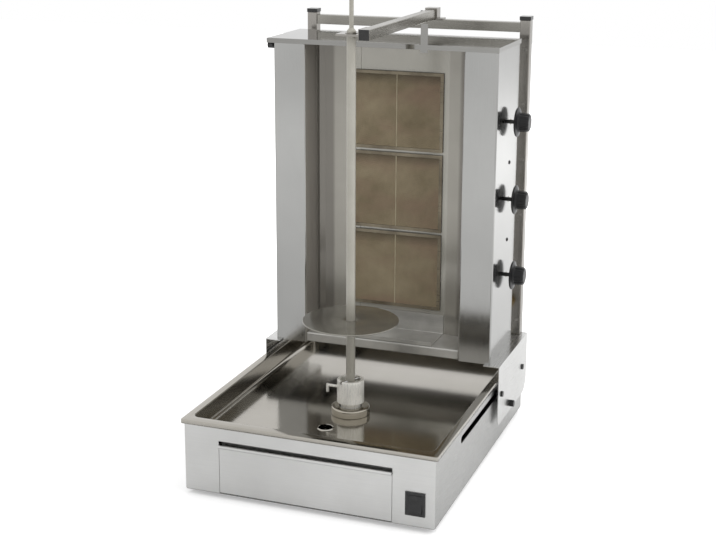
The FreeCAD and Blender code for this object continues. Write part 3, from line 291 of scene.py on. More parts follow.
sheetLooks = {
    "frontSheet": {"dark": (0.54, 0.54, 0.53), "light": (0.67, 0.67, 0.66), "along": "x", "grain": 900.0,
                   "stretch": 0.02, "grainTint": 0.25, "smudge": 3.0, "rough": (0.3, 0.42), "bump": 0.12,
                   "wave": 0.04},
    "bodySheet": {"dark": (0.41, 0.41, 0.4), "light": (0.515, 0.515, 0.505), "along": "y", "grain": 900.0,
                  "stretch": 0.02, "grainTint": 0.25, "smudge": 3.0, "rough": (0.24, 0.36), "bump": 0.1,
                  "wave": 0.04},
    "bracketSheet": {"dark": (0.6, 0.6, 0.59), "light": (0.72, 0.72, 0.71), "along": "y", "grain": 900.0,
                     "stretch": 0.02, "grainTint": 0.2, "smudge": 6.0, "rough": (0.2, 0.3), "bump": 0.04,
                     "wave": 0.05},
    "coverSheet": {"dark": (0.275, 0.271, 0.26), "light": (0.34, 0.336, 0.32), "along": "x", "grain": 900.0,
                   "stretch": 0.02, "grainTint": 0.2, "smudge": 3.0, "rough": (0.04, 0.08), "bump": 0.02,
                   "wave": 0.03},
    "wingSheet": {"dark": (0.356, 0.356, 0.347), "light": (0.428, 0.428, 0.418), "along": "z",
                  "grain": 800.0, "stretch": 0.02, "grainTint": 0.2, "smudge": 2.5, "rough": (0.1, 0.17),
                  "bump": 0.03, "wave": 0.03,
                  # darker, less metallic inner faces: painted shade, partly heat tint
                  "inner": {"halfX": 0.1695, "frontY": 0.0912, "colour": (0.265, 0.247, 0.22), "metal": 0.35}},
    "shelfSheet": {"metal": 0.5, "dark": (0.36, 0.355, 0.33), "light": (0.6, 0.59, 0.56), "along": "x",
                   "grain": 700.0, "stretch": 0.02, "grainTint": 0.2, "smudge": 7.0, "rough": (0.12, 0.2),
                   "bump": 0.03, "wave": 0.06},
    "heatTintAndShadeSheet": {"metal": 0.5, "dark": (0.36, 0.35, 0.31), "light": (0.48, 0.465, 0.42), "along": "z",
                  "grain": 500.0, "stretch": 0.02, "grainTint": 0.12, "smudge": 4.0, "rough": (0.14, 0.24),
                  "bump": 0.03, "wave": 0.06,
                  # darker strips past each fold: painted shade, not heat
                  "shadedFolds": [{"atX": 0.112, "soft": 0.002, "amount": 0.35, "colour": (0.2, 0.185, 0.16)},
                            {"atX": 0.138, "soft": 0.003, "amount": 0.6, "colour": (0.12, 0.108, 0.095)}]},
    "frameSteel": {"metal": 0.6, "dark": (0.12, 0.1, 0.07), "light": (0.26, 0.225, 0.16), "along": "x",
                   "grain": 700.0, "stretch": 0.04, "grainTint": 0.2, "smudge": 16.0, "rough": (0.24, 0.36),
                   "bump": 0.05, "wave": 0.1},
    "panSheet": {"dark": (0.38, 0.36, 0.32), "light": (0.47, 0.45, 0.41), "along": "x", "grain": 400.0,
                 "stretch": 0.03, "grainTint": 0.1, "smudge": 3.0, "rough": (0.1, 0.14), "bump": 0.02,
                 "wave": 0.03},
    "collarSteel": {"dark": (0.34, 0.315, 0.265), "light": (0.46, 0.43, 0.37), "along": "x", "grain": 700.0,
                    "stretch": 0.3, "grainTint": 0.2, "smudge": 12.0, "rough": (0.07, 0.12), "bump": 0.02,
                    "wave": 0.03},
    "discSheet": {"metal": 0.75, "dark": (0.2, 0.19, 0.165), "light": (0.3, 0.29, 0.255), "along": "x",
                  "grain": 300.0, "stretch": 0.3, "grainTint": 0.06, "smudge": 14.0, "rough": (0.14, 0.2),
                  "bump": 0.01, "wave": 0.03},
    "tubeSteel": {"dark": (0.26, 0.245, 0.225), "light": (0.38, 0.365, 0.34), "along": "z", "grain": 900.0,
                  "stretch": 0.02, "grainTint": 0.3, "smudge": 5.0, "rough": (0.14, 0.24), "bump": 0.05,
                  "wave": 0.02},
    "barSteel": {"dark": (0.26, 0.25, 0.225), "light": (0.37, 0.36, 0.33), "along": "x", "grain": 900.0,
                 "stretch": 0.02, "grainTint": 0.3, "smudge": 5.0, "rough": (0.2, 0.32), "bump": 0.05,
                 "wave": 0.02},
    "armSteel": {"dark": (0.26, 0.25, 0.225), "light": (0.4, 0.385, 0.35), "along": "y", "grain": 900.0,
                 "stretch": 0.02, "grainTint": 0.3, "smudge": 5.0, "rough": (0.2, 0.32), "bump": 0.05,
                 "wave": 0.02},
    "rodSteel": {"metal": 0.3, "dark": (0.36, 0.345, 0.3), "light": (0.46, 0.445, 0.395), "along": "z",
                 "grain": 900.0, "stretch": 0.05, "grainTint": 0.2, "smudge": 9.0, "rough": (0.26, 0.38),
                 "bump": 0.04, "wave": 0.03},
    "cupSteel": {"metal": 0.3, "dark": (0.68, 0.67, 0.62), "light": (0.88, 0.865, 0.82), "along": "z",
                 "grain": 900.0, "stretch": 0.04, "grainTint": 0.2, "smudge": 22.0, "rough": (0.22, 0.34),
                 "bump": 0.05, "wave": 0.04},
    "turnedSteel": {"dark": (0.48, 0.48, 0.475), "light": (0.66, 0.66, 0.655), "along": "x",
                    "grain": 1200.0, "stretch": 0.4, "grainTint": 0.25, "smudge": 16.0,
                    "rough": (0.1, 0.22), "bump": 0.05, "wave": 0.03},
    "darkSteel": {"dark": (0.025, 0.025, 0.025), "light": (0.065, 0.065, 0.063), "along": "x",
                  "grain": 900.0, "stretch": 0.5, "grainTint": 0.3, "smudge": 30.0, "rough": (0.3, 0.45),
                  "bump": 0.1, "wave": 0.05},
    "brass": {"dark": (0.42, 0.3, 0.12), "light": (0.62, 0.46, 0.2), "along": "x", "grain": 900.0,
              "stretch": 0.3, "grainTint": 0.3, "smudge": 20.0, "rough": (0.2, 0.36), "bump": 0.06,
              "wave": 0.04},
    "castIron": {"dark": (0.1, 0.1, 0.1), "light": (0.2, 0.2, 0.2), "along": "x", "grain": 700.0,
                 "stretch": 1.0, "grainTint": 0.5, "smudge": 18.0, "rough": (0.5, 0.7), "bump": 0.4,
                 "wave": 0.1},
}


# moulded plastic, rubber and paint: fine pebble, faint dust
def mouldedStuff(name, look):
    mat, tree, shader = newMaterial(name)
    pebble = noiseAt(tree, objectSpace(tree), look["pebble"], 3.0, 0.6)
    dust = noiseAt(tree, objectSpace(tree), look["dustScale"], 5.0, 0.65)
    amount = rangeOf(tree, dust, 0.0, look["dust"], 0.45, 0.75)
    tint = blendOf(tree, amount, look["colour"], look["dustColour"])
    tree.links.new(tint, shader.inputs["Base Color"])
    if "shine" in look:
        shader.inputs["Specular IOR Level"].default_value = look["shine"]
    rough = rangeOf(tree, pebble, look["rough"][0], look["rough"][1])
    tree.links.new(rough, shader.inputs["Roughness"])
    tree.links.new(bumpOf(tree, pebble, look["bump"], pebbleDepth), shader.inputs["Normal"])
    return mat


mouldedLooks = {
    "sealBead": {"colour": (0.42, 0.37, 0.26), "dustColour": (0.25, 0.21, 0.14), "dust": 0.8,
                 "dustScale": 60.0, "pebble": 900.0, "rough": (0.7, 0.85), "bump": 0.3},
    "capPlastic": {"colour": (0.01, 0.01, 0.01), "dustColour": (0.05, 0.05, 0.05), "dust": 0.3,
                   "dustScale": 40.0, "pebble": 1500.0, "rough": (0.08, 0.16), "bump": 0.04},
    "knobPlastic": {"colour": (0.006, 0.006, 0.0065), "dustColour": (0.03, 0.03, 0.03), "dust": 0.3,
                    "dustScale": 40.0, "pebble": 1500.0, "rough": (0.26, 0.38), "bump": 0.1, "shine": 0.28},
    "blackPlastic": {"colour": (0.007, 0.007, 0.0075), "dustColour": (0.06, 0.06, 0.06), "dust": 0.4,
                     "dustScale": 40.0, "pebble": 1500.0, "rough": (0.28, 0.42), "bump": 0.15},
    "footRubber": {"colour": (0.015, 0.015, 0.015), "dustColour": (0.07, 0.07, 0.065), "dust": 0.5,
                   "dustScale": 30.0, "pebble": 900.0, "rough": (0.6, 0.8), "bump": 0.3},
    "motorPaint": {"colour": (0.05, 0.055, 0.06), "dustColour": (0.12, 0.12, 0.12), "dust": 0.5,
                   "dustScale": 25.0, "pebble": 700.0, "rough": (0.4, 0.55), "bump": 0.2},
}


# ceramic plaque: rows of tiny flame holes in pale fired clay, browned by heat
plaqueLook = {
    "pitch": 0.0026,
    "rowStep": 0.866,
    "hole": 0.34,
    "holeSoft": 0.1,
    "holeColour": (0.05, 0.04, 0.024),
    "clay": (0.4, 0.33, 0.215),
    "burnt": (0.24, 0.19, 0.115),
    "rose": (0.31, 0.215, 0.15),
    "roseAmount": 0.8,
    "rowPitch": 0.1705,
    "rowStart": 0.2618,
    "sootFrom": 0.78,
    "sootTo": 0.93,
    "sootAmount": 0.85,
    "soot": (0.07, 0.06, 0.04),
    "rough": 0.85,
}


def ceramicPlaque():
    look = plaqueLook
    mat, tree, shader = newMaterial("ceramicPlaque")
    vector = objectSpace(tree)
    parts = addNode(tree, "ShaderNodeSeparateXYZ")
    tree.links.new(vector, parts.inputs[0])

    row = maths(tree, "DIVIDE", parts.outputs["Z"], look["pitch"] * look["rowStep"])
    rowIndex = maths(tree, "FLOOR", row)
    nudge = maths(tree, "MULTIPLY", maths(tree, "MODULO", rowIndex, 2.0), 0.5)
    column = maths(tree, "ADD", maths(tree, "DIVIDE", parts.outputs["X"], look["pitch"]), nudge)
    across = maths(tree, "SUBTRACT", maths(tree, "FRACT", column), 0.5)
    upward = maths(tree, "MULTIPLY", maths(tree, "SUBTRACT", maths(tree, "FRACT", row), 0.5), look["rowStep"])
    acrossSquare = maths(tree, "MULTIPLY", across, across)
    upwardSquare = maths(tree, "MULTIPLY", upward, upward)
    reach = maths(tree, "SQRT", maths(tree, "ADD", acrossSquare, upwardSquare))
    hole = rangeOf(tree, reach, 1.0, 0.0, look["hole"] - look["holeSoft"], look["hole"])

    heat = noiseAt(tree, objectSpace(tree), 14.0, 4.0, 0.6)
    clay = blendOf(tree, rangeOf(tree, heat, 0.0, 1.0), look["clay"], look["burnt"])
    blush = noiseAt(tree, objectSpace(tree, (1.0, 1.0, 2.2)), 9.0, 3.0, 0.5)
    clay = blendOf(tree, rangeOf(tree, blush, 0.0, look["roseAmount"], 0.45, 0.68), clay, look["rose"])
    aboveStart = maths(tree, "SUBTRACT", parts.outputs["Z"], look["rowStart"])
    inRow = maths(tree, "FRACT", maths(tree, "DIVIDE", aboveStart, look["rowPitch"]))
    sooty = rangeOf(tree, inRow, 0.0, look["sootAmount"], look["sootFrom"], look["sootTo"])
    clay = blendOf(tree, sooty, clay, look["soot"])
    tree.links.new(blendOf(tree, hole, clay, look["holeColour"]), shader.inputs["Base Color"])

    shader.inputs["Roughness"].default_value = look["rough"]
    grit = noiseAt(tree, objectSpace(tree), 900.0, 2.0, 0.5)
    rough = bumpOf(tree, grit, 0.2, 0.0004)
    pits = bumpOf(tree, maths(tree, "SUBTRACT", 1.0, hole), 0.6, 0.0008, rough)
    tree.links.new(pits, shader.inputs["Normal"])
    return mat


finish = {name: steelSheet(name, look) for name, look in sheetLooks.items()}
finish.update({name: mouldedStuff(name, look) for name, look in mouldedLooks.items()})
finish["ceramicPlaque"] = ceramicPlaque()
print("materials ready:", len(finish))


# which finish each CAD piece wears
wears = {
    "frontSheet": ["base_front", "drawer_front"],
    "bodySheet": ["base_wrap", "base_bottom", "drawer_runners", "motor_bracket", "back_panel",
                  "burner_body_1", "burner_body_2", "burner_body_3"],
    "bracketSheet": ["side_bracket_left", "side_bracket_right"],
    "coverSheet": ["top_cover"],
    "wingSheet": ["wing_left", "wing_right"],
    "shelfSheet": ["foot_shelf", "tower_floor"],
    "heatTintAndShadeSheet": ["reflector_left", "reflector_right", "burner_panel"],
    "frameSteel": ["burner_frames"],
    "panSheet": ["drip_pan", "drawer_tray"],
    "collarSteel": ["pan_collar"],
    "discSheet": ["meat_disc"],
    "tubeSteel": ["post_left", "post_right", "gas_manifold", "arm_clamp", "arm_bush"],
    "barSteel": ["crossbar"],
    "armSteel": ["spit_arm"],
    "rodSteel": ["spit_rod"],
    "cupSteel": ["drive_cup", "cup_screw"],
    "turnedSteel": ["drive_shaft", "spit_pin", "disc_screw"],
    "darkSteel": ["valve_stem_1", "valve_stem_2", "valve_stem_3", "clamp_bolt_left", "clamp_bolt_right",
                  "guide_rollers"],
    "blackPlastic": ["switch_bezel", "switch_rocker", "cable_gland", "cover_screw", "knob_1", "knob_2",
                     "knob_3", "arm_screw"],
    "capPlastic": ["post_caps", "arm_plugs"],
    "footRubber": ["feet"],
    "motorPaint": ["gear_motor"],
    "castIron": ["shaft_bearing"],
    "brass": ["gas_valves", "gas_inlet"],
    "ceramicPlaque": ["ceramic_plaques"],
}


def dressNodes():
    for look, names in wears.items():
        for name in names:
            for part in nodes[name].material_slots:
                part.material = finish[look]


dressNodes()
print("CAD pieces dressed")


# folded edges catch the light: weld the CAD triangles, then round every sharp edge
weldReach = 0.00001
sharpAngle = 35
edges = {
    "base_front": 0.0004, "drawer_front": 0.0004, "top_cover": 0.0004, "wing_left": 0.0004, "wing_right": 0.0004,
    "tower_floor": 0.0004, "foot_shelf": 0.0004, "side_bracket_left": 0.0005, "side_bracket_right": 0.0005,
    "post_left": 0.0015, "post_right": 0.0015, "crossbar": 0.0012, "spit_arm": 0.0012, "post_caps": 0.0012,
    "switch_bezel": 0.0006, "arm_plugs": 0.0008, "clamp_bolt_left": 0.0007, "clamp_bolt_right": 0.0007,
    "burner_frames": 0.0004, "base_wrap": 0.0004,
}


def roundEdges():
    for name, width in edges.items():
        obj = nodes[name]
        weld = obj.modifiers.new("weld", "WELD")
        weld.merge_threshold = weldReach
        bevel = obj.modifiers.new("edgeRound", "BEVEL")
        bevel.width = width
        bevel.segments = 2
        bevel.limit_method = "ANGLE"
        bevel.angle_limit = math.radians(sharpAngle)


roundEdges()
print("edges rounded")


creaseAngle = 38


# a new piece: its mesh holds its place, smooth except at sharp corners
def addPiece(name, mesh, look, body, stoodFor=()):
    obj = bpy.data.objects.new(name, mesh)
    scene.collection.objects.link(obj)
    mesh.shade_smooth()
    mesh.set_sharp_from_angle(angle=math.radians(creaseAngle))
    mesh.materials.clear()
    mesh.materials.append(finish[look])
    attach(obj, body)
    if stoodFor:
        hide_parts(*stoodFor)
    return obj


def meshFrom(bm, name):
    bmesh.ops.recalc_face_normals(bm, faces=bm.faces)
    mesh = bpy.data.meshes.new(name)
    bm.to_mesh(mesh)
    bm.free()
    return mesh


# the plain mesh that an object's modifiers make
def builtMesh(obj):
    bpy.context.view_layer.update()
    return bpy.data.meshes.new_from_object(obj.evaluated_get(bpy.context.evaluated_depsgraph_get()))


# swaps each sharp corner of a line of points for a small curve
def softLine(points, radius, closed=False, steps=3):
    count = len(points)
    line = []
    for i, point in enumerate(points):
        here = Vector(point)
        if not closed and i in (0, count - 1):
            line.append(here)
            continue
        before, after = Vector(points[i - 1]), Vector(points[(i + 1) % count])
        start = here + (before - here).normalized() * min(radius, 0.45 * (before - here).length)
        end = here + (after - here).normalized() * min(radius, 0.45 * (after - here).length)
        for k in range(steps + 1):
            t = k / steps
            line.append(start * (1 - t) ** 2 + here * 2 * t * (1 - t) + end * t * t)
    return line


# spins a line of (radius, height) points round an axis
def turnedMesh(name, points, base, axis=(0, 0, 1), soft=0.0008, segments=72, closed=False):
    line = softLine(points, soft, closed)
    turn = Vector((0, 0, 1)).rotation_difference(Vector(axis))
    place = Matrix.Translation(base) @ turn.to_matrix().to_4x4()
    bm = bmesh.new()
    rings = []
    for radius, height in line:
        steps = segments if radius > 1e-6 else 1
        angles = [2 * math.pi * i / steps for i in range(steps)]
        points = [(radius * math.cos(a), radius * math.sin(a), height) for a in angles]
        rings.append([bm.verts.new(place @ Vector(point)) for point in points])
    pairs = list(zip(rings, rings[1:]))
    if closed:
        pairs.append((rings[-1], rings[0]))
    for low, high in pairs:
        for i in range(segments):
            j = (i + 1) % segments
            loop = [low[i % len(low)], low[j % len(low)], high[j % len(high)], high[i % len(high)]]
            bm.faces.new(list(dict.fromkeys(loop)))
    return meshFrom(bm, name)


# spit, disc and cup: turned steel with soft edges
spit = {
    "place": (0, -0.09, 0),
    "cup": [(0.0081, 0.1243), (0.02, 0.1243), (0.02, 0.138), (0.027, 0.138), (0.027, 0.185), (0.0205, 0.185),
            (0.0205, 0.173), (0.0095, 0.173), (0.0095, 0.146), (0.0081, 0.146)],
    "cupSoft": 0.0011,
    "pinSlot": {"halfWidth": 0.0033, "halfLength": 0.032, "bottom": 0.1784, "top": 0.186, "turn": 63.0},
    "disc": [(0.0092, 0.2895), (0.018, 0.2895), (0.018, 0.3055), (0.095, 0.3055), (0.095, 0.3085),
             (0.0092, 0.3085)],
    "discSoft": 0.001,
    "rod": [(0, 0.1463), (0.009, 0.1463), (0.009, 0.874), (0.0042, 0.88), (0.0042, 0.947), (0, 0.947)],
    "rodSoft": 0.0008,
    "collar": [(0.022, 0.114), (0.039, 0.114), (0.039, 0.1275), (0.0365, 0.13), (0.022, 0.13)],
    "collarSoft": 0.0012,
}


# cuts a turned box out of a mesh
def cutBox(mesh, name, halfSizes, place, turn):
    bm = bmesh.new()
    bmesh.ops.create_cube(bm, size=2.0)
    where = Matrix.Translation(place) @ Matrix.Rotation(turn, 4, "Z")
    for vert in bm.verts:
        vert.co = where @ Vector([a * b for a, b in zip(vert.co, halfSizes)])
    tool = bpy.data.objects.new(name + "Tool", meshFrom(bm, name + "Tool"))
    blank = bpy.data.objects.new(name + "Blank", mesh)
    for obj in (tool, blank):
        scene.collection.objects.link(obj)
    cut = blank.modifiers.new("cut", "BOOLEAN")
    cut.operation = "DIFFERENCE"
    cut.solver = "EXACT"
    cut.object = tool
    result = builtMesh(blank)
    for obj in (tool, blank):
        bpy.data.objects.remove(obj)
    return result


def makeSpit():
    base, slot = spit["place"], spit["pinSlot"]
    cup = turnedMesh("cup", spit["cup"], base, soft=spit["cupSoft"], segments=96, closed=True)
    middle = (base[0], base[1], (slot["bottom"] + slot["top"]) / 2)
    halfSizes = (slot["halfLength"], slot["halfWidth"], (slot["top"] - slot["bottom"]) / 2)
    cup = cutBox(cup, "pinSlot", halfSizes, middle, math.radians(slot["turn"]))
    addPiece("spitCup", cup, "cupSteel", "drive", ["drive_cup"])
    disc = turnedMesh("disc", spit["disc"], base, soft=spit["discSoft"], segments=160, closed=True)
    addPiece("carryingDisc", disc, "discSheet", "disc", ["meat_disc"])
    rod = turnedMesh("rod", spit["rod"], base, soft=spit["rodSoft"], segments=64)
    addPiece("spitRod", rod, "rodSteel", "spit", ["spit_rod"])
    collar = turnedMesh("collar", spit["collar"], base, soft=spit["collarSoft"], segments=96, closed=True)
    addPiece("fatCollar", collar, "collarSteel", "base", ["pan_collar"])


makeSpit()
print("spit, disc, cup and collar turned")


# pressed drip pan: rolled rim, deep well with soft corners, raised drain lip
pan = {
    "rim": {"halfX": 0.256, "y": (-0.331, 0.331), "corner": 0.005, "bottom": 0.146, "top": 0.154,
            "roll": 0.0016, "cornerShare": 0.8, "steps": 4},
    "well": {"halfX": 0.24, "y": (-0.309, 0.311), "corner": 0.014, "edge": 0.0022, "floor": 0.114,
             "foot": 0.009, "cornerShare": 0.7, "edgeSteps": 4, "footSteps": 6},
    "drain": {"place": (-0.017, -0.183), "outside": 0.0155, "inside": 0.014, "lip": 0.116, "spout": 0.1007,
              "rise": 0.0012, "round": 0.0006},
    "shaftHole": {"place": (0.0, -0.09), "radius": 0.0153, "bottom": 0.1126},
    "sheet": 0.0015,
    "flatRing": 0.002,
    "cornerSteps": 8,
}


def roundedLoop(bm, halfX, yRange, corner, z):
    y0, y1 = yRange
    steps = pan["cornerSteps"]
    centres = ((halfX - corner, y1 - corner, 0), (-halfX + corner, y1 - corner, 90),
               (-halfX + corner, y0 + corner, 180), (halfX - corner, y0 + corner, 270))
    loop = []
    for x, y, first in centres:
        for k in range(steps + 1):
            a = math.radians(first + 90 * k / steps)
            loop.append(bm.verts.new((x + corner * math.cos(a), y + corner * math.sin(a), z)))
    return loop


def roundLoop(bm, place, radius, z, segments=48):
    angles = [2 * math.pi * i / segments for i in range(segments)]
    x, y = place
    return [bm.verts.new((x + radius * math.cos(a), y + radius * math.sin(a), z)) for a in angles]


def bridge(bm, first, second):
    count = len(first)
    for i in range(count):
        j = (i + 1) % count
        bm.faces.new((first[i], first[j], second[j], second[i]))


def chain(bm, loops):
    for first, second in zip(loops, loops[1:]):
        bridge(bm, first, second)


def grown(yRange, amount):
    return (yRange[0] - amount, yRange[1] + amount)


# loops of the rolled rim, the soft edge of the well, its wall and its foot, from outside inwards
def panLoops(bm):
    rim, well = pan["rim"], pan["well"]
    loops = [roundedLoop(bm, rim["halfX"], rim["y"], rim["corner"], rim["bottom"])]
    for k in range(rim["steps"] + 1):
        a = math.radians(90 * k / rim["steps"])
        inset = rim["roll"] * (1 - math.cos(a))
        height = rim["top"] - rim["roll"] * (1 - math.sin(a))
        corner = rim["corner"] - rim["cornerShare"] * inset
        loops.append(roundedLoop(bm, rim["halfX"] - inset, grown(rim["y"], -inset), corner, height))
    for k in range(well["edgeSteps"] + 1):
        a = math.radians(90 * k / well["edgeSteps"])
        grow = well["edge"] * (1 - math.sin(a))
        height = rim["top"] - well["edge"] * (1 - math.cos(a))
        corner = well["corner"] + grow
        loops.append(roundedLoop(bm, well["halfX"] + grow, grown(well["y"], grow), corner, height))
    for k in range(well["footSteps"] + 1):
        a = math.radians(90 * k / well["footSteps"])
        inset = well["foot"] * (1 - math.cos(a))
        height = well["floor"] + well["foot"] * (1 - math.sin(a))
        corner = well["corner"] - well["cornerShare"] * inset
        loops.append(roundedLoop(bm, well["halfX"] - inset, grown(well["y"], -inset), corner, height))
    inset = well["foot"] + pan["flatRing"]
    corner = well["corner"] - well["cornerShare"] * well["foot"]
    loops.append(roundedLoop(bm, well["halfX"] - inset, grown(well["y"], -inset), corner, well["floor"]))
    return loops


def lipLoops(bm, place, steps):
    return [roundLoop(bm, place, radius, z) for radius, z in steps]


def makePan():
    bm = bmesh.new()
    drain, hole = pan["drain"], pan["shaftHole"]
    floor = pan["well"]["floor"]
    loops = panLoops(bm)
    chain(bm, loops)
    foot = drain["outside"] + drain["rise"]
    lip = lipLoops(bm, drain["place"], [
        (foot + pan["flatRing"], floor), (foot, floor), (drain["outside"], floor + drain["rise"]),
        (drain["outside"] - drain["round"], drain["lip"]), (drain["inside"], drain["lip"] - drain["round"]),
        (drain["inside"], drain["spout"])])
    chain(bm, lip)
    shaftLip = lipLoops(bm, hole["place"], [
        (hole["radius"] + pan["flatRing"], floor), (hole["radius"], floor), (hole["radius"], hole["bottom"])])
    chain(bm, shaftLip)
    ends = []
    for loop in (loops[-1], lip[0], shaftLip[0]):
        ends += [bm.edges.get((loop[i], loop[(i + 1) % len(loop)])) for i in range(len(loop))]
    bmesh.ops.triangle_fill(bm, use_beauty=True, edges=ends)
    bm.normal_update()
    bmesh.ops.recalc_face_normals(bm, faces=bm.faces)
    if sum(face.normal.z * face.calc_area() for face in bm.faces) < 0:
        bmesh.ops.reverse_faces(bm, faces=bm.faces)
    mesh = bpy.data.meshes.new("pan")
    bm.to_mesh(mesh)
    bm.free()
    obj = addPiece("dripPan", mesh, "panSheet", "base", ["drip_pan"])
    wall = obj.modifiers.new("sheet", "SOLIDIFY")
    wall.thickness = pan["sheet"]
    wall.offset = -1.0


makePan()
print("drip pan pressed")


# pale sealing bead in the joint between each pair of plaques
beads = {"radius": 0.0011, "length": 0.154, "tip": 0.001, "soft": 0.0004, "y": 0.1802,
         "rows": (0.3403, 0.5107, 0.6813)}


def makeBeads():
    bm = bmesh.new()
    for z in beads["rows"]:
        low = z - beads["length"] / 2
        half = [(0, 0), (beads["radius"], beads["tip"]), (beads["radius"], beads["length"] - beads["tip"]),
                (0, beads["length"])]
        part = turnedMesh("bead", half, (0, beads["y"], low), soft=beads["soft"], segments=16)
        bm.from_mesh(part)
        bpy.data.meshes.remove(part)
    addPiece("plaqueBeads", meshFrom(bm, "plaqueBeads"), "sealBead", "tower")


makeBeads()
print("beads laid")


# new node tree with a mesh in, a mesh out and named sizes
def newTree(name, sizes):
    tree = bpy.data.node_groups.new(name, "GeometryNodeTree")
    tree.interface.new_socket(name="Geometry", in_out="INPUT", socket_type="NodeSocketGeometry")
    for key, value in sizes.items():
        kind = "NodeSocketVector" if isinstance(value, tuple) else "NodeSocketFloat"
        socket = tree.interface.new_socket(name=key, in_out="INPUT", socket_type=kind)
        socket.default_value = value
    tree.interface.new_socket(name="Geometry", in_out="OUTPUT", socket_type="NodeSocketGeometry")
    return tree, tree.nodes.new("NodeGroupInput"), tree.nodes.new("NodeGroupOutput")


# runs a tree on a mesh and gives back the plain mesh that it makes
def runTree(tree, mesh, sizes, name):
    obj = bpy.data.objects.new(name + "Source", mesh)
    scene.collection.objects.link(obj)
    modifier = obj.modifiers.new("nodes", "NODES")
    modifier.node_group = tree
    for item in tree.interface.items_tree:
        if item.item_type == "SOCKET" and item.in_out == "INPUT" and item.name in sizes:
            modifier[item.identifier] = sizes[item.name]
    result = builtMesh(obj)
    bpy.data.objects.remove(obj)
    result.name = name
    return result


# control knobs: a turned body whose grip gets its flutes from a node tree
knob = {
    "body": [(0.0043, 0.0215), (0.0043, 0.0), (0.0292, 0.0), (0.03, 0.0014), (0.03, 0.0032), (0.0215, 0.0052),
             (0.0194, 0.0085), (0.0186, 0.0225), (0.0168, 0.0268), (0.012, 0.0275), (0.0, 0.0272)],
    "soft": 0.0012,
    "faceX": 0.2505,
    "y": 0.2,
    "heights": (0.34725, 0.50875, 0.67025),
    "segments": 144,
    "scoopPower": 1.6,
}
fluteSizes = {"centre": (0.0, 0.2, 0.5), "flutes": 12.0, "depth": 0.055, "gripStart": 0.2585}


def fluteTree():
    tree, given, made = newTree("knobFlutes", fluteSizes)
    place = addNode(tree, "GeometryNodeInputPosition")
    offset = addNode(tree, "ShaderNodeVectorMath", operation="SUBTRACT")
    tree.links.new(place.outputs[0], offset.inputs[0])
    tree.links.new(given.outputs["centre"], offset.inputs[1])
    split = addNode(tree, "ShaderNodeSeparateXYZ")
    tree.links.new(offset.outputs[0], split.inputs[0])
    height = addNode(tree, "ShaderNodeSeparateXYZ")
    tree.links.new(place.outputs[0], height.inputs[0])
    angle = maths(tree, "ARCTAN2", split.outputs["Z"], split.outputs["Y"])
    swing = maths(tree, "COSINE", maths(tree, "MULTIPLY", angle, given.outputs["flutes"]))
    wave = maths(tree, "MULTIPLY", maths(tree, "ADD", swing, 1.0), 0.5)
    scoop = maths(tree, "POWER", wave, knob["scoopPower"])
    onGrip = maths(tree, "GREATER_THAN", height.outputs["X"], given.outputs["gripStart"])
    shrink = maths(tree, "MULTIPLY", maths(tree, "MULTIPLY", scoop, onGrip), given.outputs["depth"])
    inward = addNode(tree, "ShaderNodeCombineXYZ")
    for axis in "YZ":
        pull = maths(tree, "MULTIPLY", shrink, -1.0)
        tree.links.new(maths(tree, "MULTIPLY", split.outputs[axis], pull), inward.inputs[axis])
    move = addNode(tree, "GeometryNodeSetPosition")
    tree.links.new(given.outputs["Geometry"], move.inputs["Geometry"])
    tree.links.new(inward.outputs[0], move.inputs["Offset"])
    real = addNode(tree, "GeometryNodeRealizeInstances")
    tree.links.new(move.outputs[0], real.inputs[0])
    dress = addNode(tree, "GeometryNodeSetMaterial")
    dress.inputs["Material"].default_value = finish["knobPlastic"]
    tree.links.new(real.outputs[0], dress.inputs["Geometry"])
    tree.links.new(dress.outputs[0], made.inputs[0])
    return tree


def makeKnobs():
    tree = fluteTree()
    for i, z in enumerate(knob["heights"], 1):
        name = "controlKnob_%d" % i
        place = (knob["faceX"], knob["y"], z)
        blank = turnedMesh(name, knob["body"], place, (1, 0, 0), knob["soft"], knob["segments"])
        sizes = dict(fluteSizes, centre=(0.0, knob["y"], z))
        mesh = runTree(tree, blank, sizes, name)
        addPiece(name, mesh, "knobPlastic", "dial_%d" % i, ["knob_%d" % i])


makeKnobs()
print("knobs fluted")


# sheet screws: one small domed head with a hexagon recess, set on every screw place
screwRows = {
    "panelScrews": {"body": "tower", "turn": (0.0, 1.5708, 0.0), "headRadius": 0.0044, "headHeight": 0.0018,
                    "look": "darkSteel",
                    "places": [(0.2376, 0.2, z) for z in (0.4226, 0.586)]},
    "backScrews": {"body": "tower", "turn": (-1.5708, 0.0, 0.0), "headRadius": 0.0045, "headHeight": 0.0022,
                   "look": "turnedSteel",
                   "places": [(side * 0.2295, 0.2651, z) for side in (-1, 1)
                              for z in (0.205, 0.325, 0.445, 0.565, 0.685, 0.8)]
                   + [(x, 0.2666, 0.8235) for x in (-0.19, -0.065, 0.065, 0.19)]},
    "baseScrews": {"body": "base", "turn": (-1.5708, 0.0, 0.0), "headRadius": 0.0045, "headHeight": 0.0022,
                   "look": "turnedSteel",
                   "places": [(x, 0.3251, 0.136) for x in (-0.232, -0.116, 0.0, 0.116, 0.232)]},
}


screwShape = {"headSides": 28, "recessSides": 6, "topShare": 0.62, "recessShare": 0.36, "recessLift": 0.4}


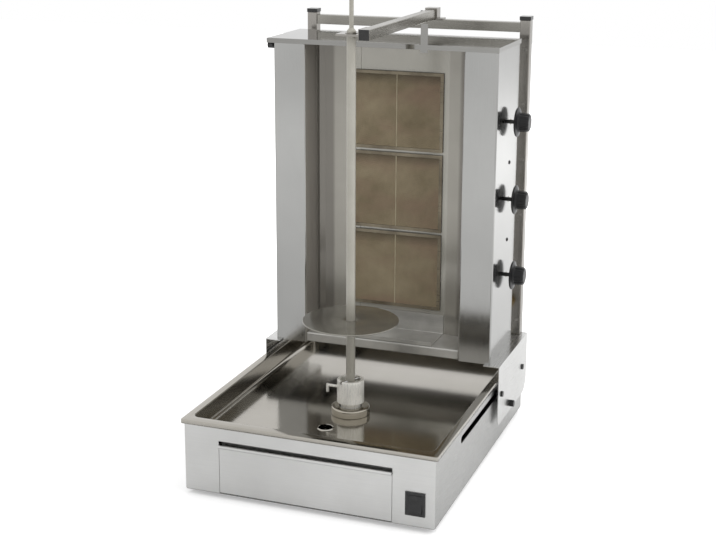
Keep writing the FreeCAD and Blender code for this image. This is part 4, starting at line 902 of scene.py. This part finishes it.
def screwTree(row):
    sizes = {"headRadius": row["headRadius"], "headHeight": row["headHeight"], "turn": row["turn"]}
    tree, given, made = newTree("screwHeads", sizes)
    head = addNode(tree, "GeometryNodeMeshCone", fill_type="NGON")
    head.inputs["Vertices"].default_value = screwShape["headSides"]
    head.inputs["Side Segments"].default_value = 1
    topRadius = maths(tree, "MULTIPLY", given.outputs["headRadius"], screwShape["topShare"])
    tree.links.new(topRadius, head.inputs["Radius Top"])
    tree.links.new(given.outputs["headRadius"], head.inputs["Radius Bottom"])
    tree.links.new(given.outputs["headHeight"], head.inputs["Depth"])
    recess = addNode(tree, "GeometryNodeMeshCone", fill_type="NGON")
    recess.inputs["Vertices"].default_value = screwShape["recessSides"]
    recess.inputs["Side Segments"].default_value = 1
    for key in ("Radius Top", "Radius Bottom"):
        radius = maths(tree, "MULTIPLY", given.outputs["headRadius"], screwShape["recessShare"])
        tree.links.new(radius, recess.inputs[key])
    tree.links.new(given.outputs["headHeight"], recess.inputs["Depth"])
    raised = addNode(tree, "GeometryNodeTransform")
    lift = addNode(tree, "ShaderNodeCombineXYZ")
    liftHeight = maths(tree, "MULTIPLY", given.outputs["headHeight"], screwShape["recessLift"])
    tree.links.new(liftHeight, lift.inputs["Z"])
    tree.links.new(recess.outputs["Mesh"], raised.inputs["Geometry"])
    tree.links.new(lift.outputs[0], raised.inputs["Translation"])
    cut = addNode(tree, "GeometryNodeMeshBoolean", operation="DIFFERENCE")
    tree.links.new(head.outputs["Mesh"], cut.inputs["Mesh 1"])
    tree.links.new(raised.outputs["Geometry"], cut.inputs["Mesh 2"])
    facing = addNode(tree, "FunctionNodeEulerToRotation")
    tree.links.new(given.outputs["turn"], facing.inputs[0])
    spread = addNode(tree, "GeometryNodeInstanceOnPoints")
    tree.links.new(given.outputs["Geometry"], spread.inputs["Points"])
    tree.links.new(cut.outputs["Mesh"], spread.inputs["Instance"])
    tree.links.new(facing.outputs[0], spread.inputs["Rotation"])
    real = addNode(tree, "GeometryNodeRealizeInstances")
    tree.links.new(spread.outputs[0], real.inputs[0])
    dress = addNode(tree, "GeometryNodeSetMaterial")
    dress.inputs["Material"].default_value = finish[row["look"]]
    tree.links.new(real.outputs[0], dress.inputs["Geometry"])
    tree.links.new(dress.outputs[0], made.inputs[0])
    return tree, sizes


def makeScrews():
    for name, row in screwRows.items():
        dots = bpy.data.meshes.new(name + "Dots")
        dots.from_pydata(row["places"], [], [])
        tree, sizes = screwTree(row)
        addPiece(name, runTree(tree, dots, sizes, name), row["look"], row["body"])


makeScrews()
print("screws set")
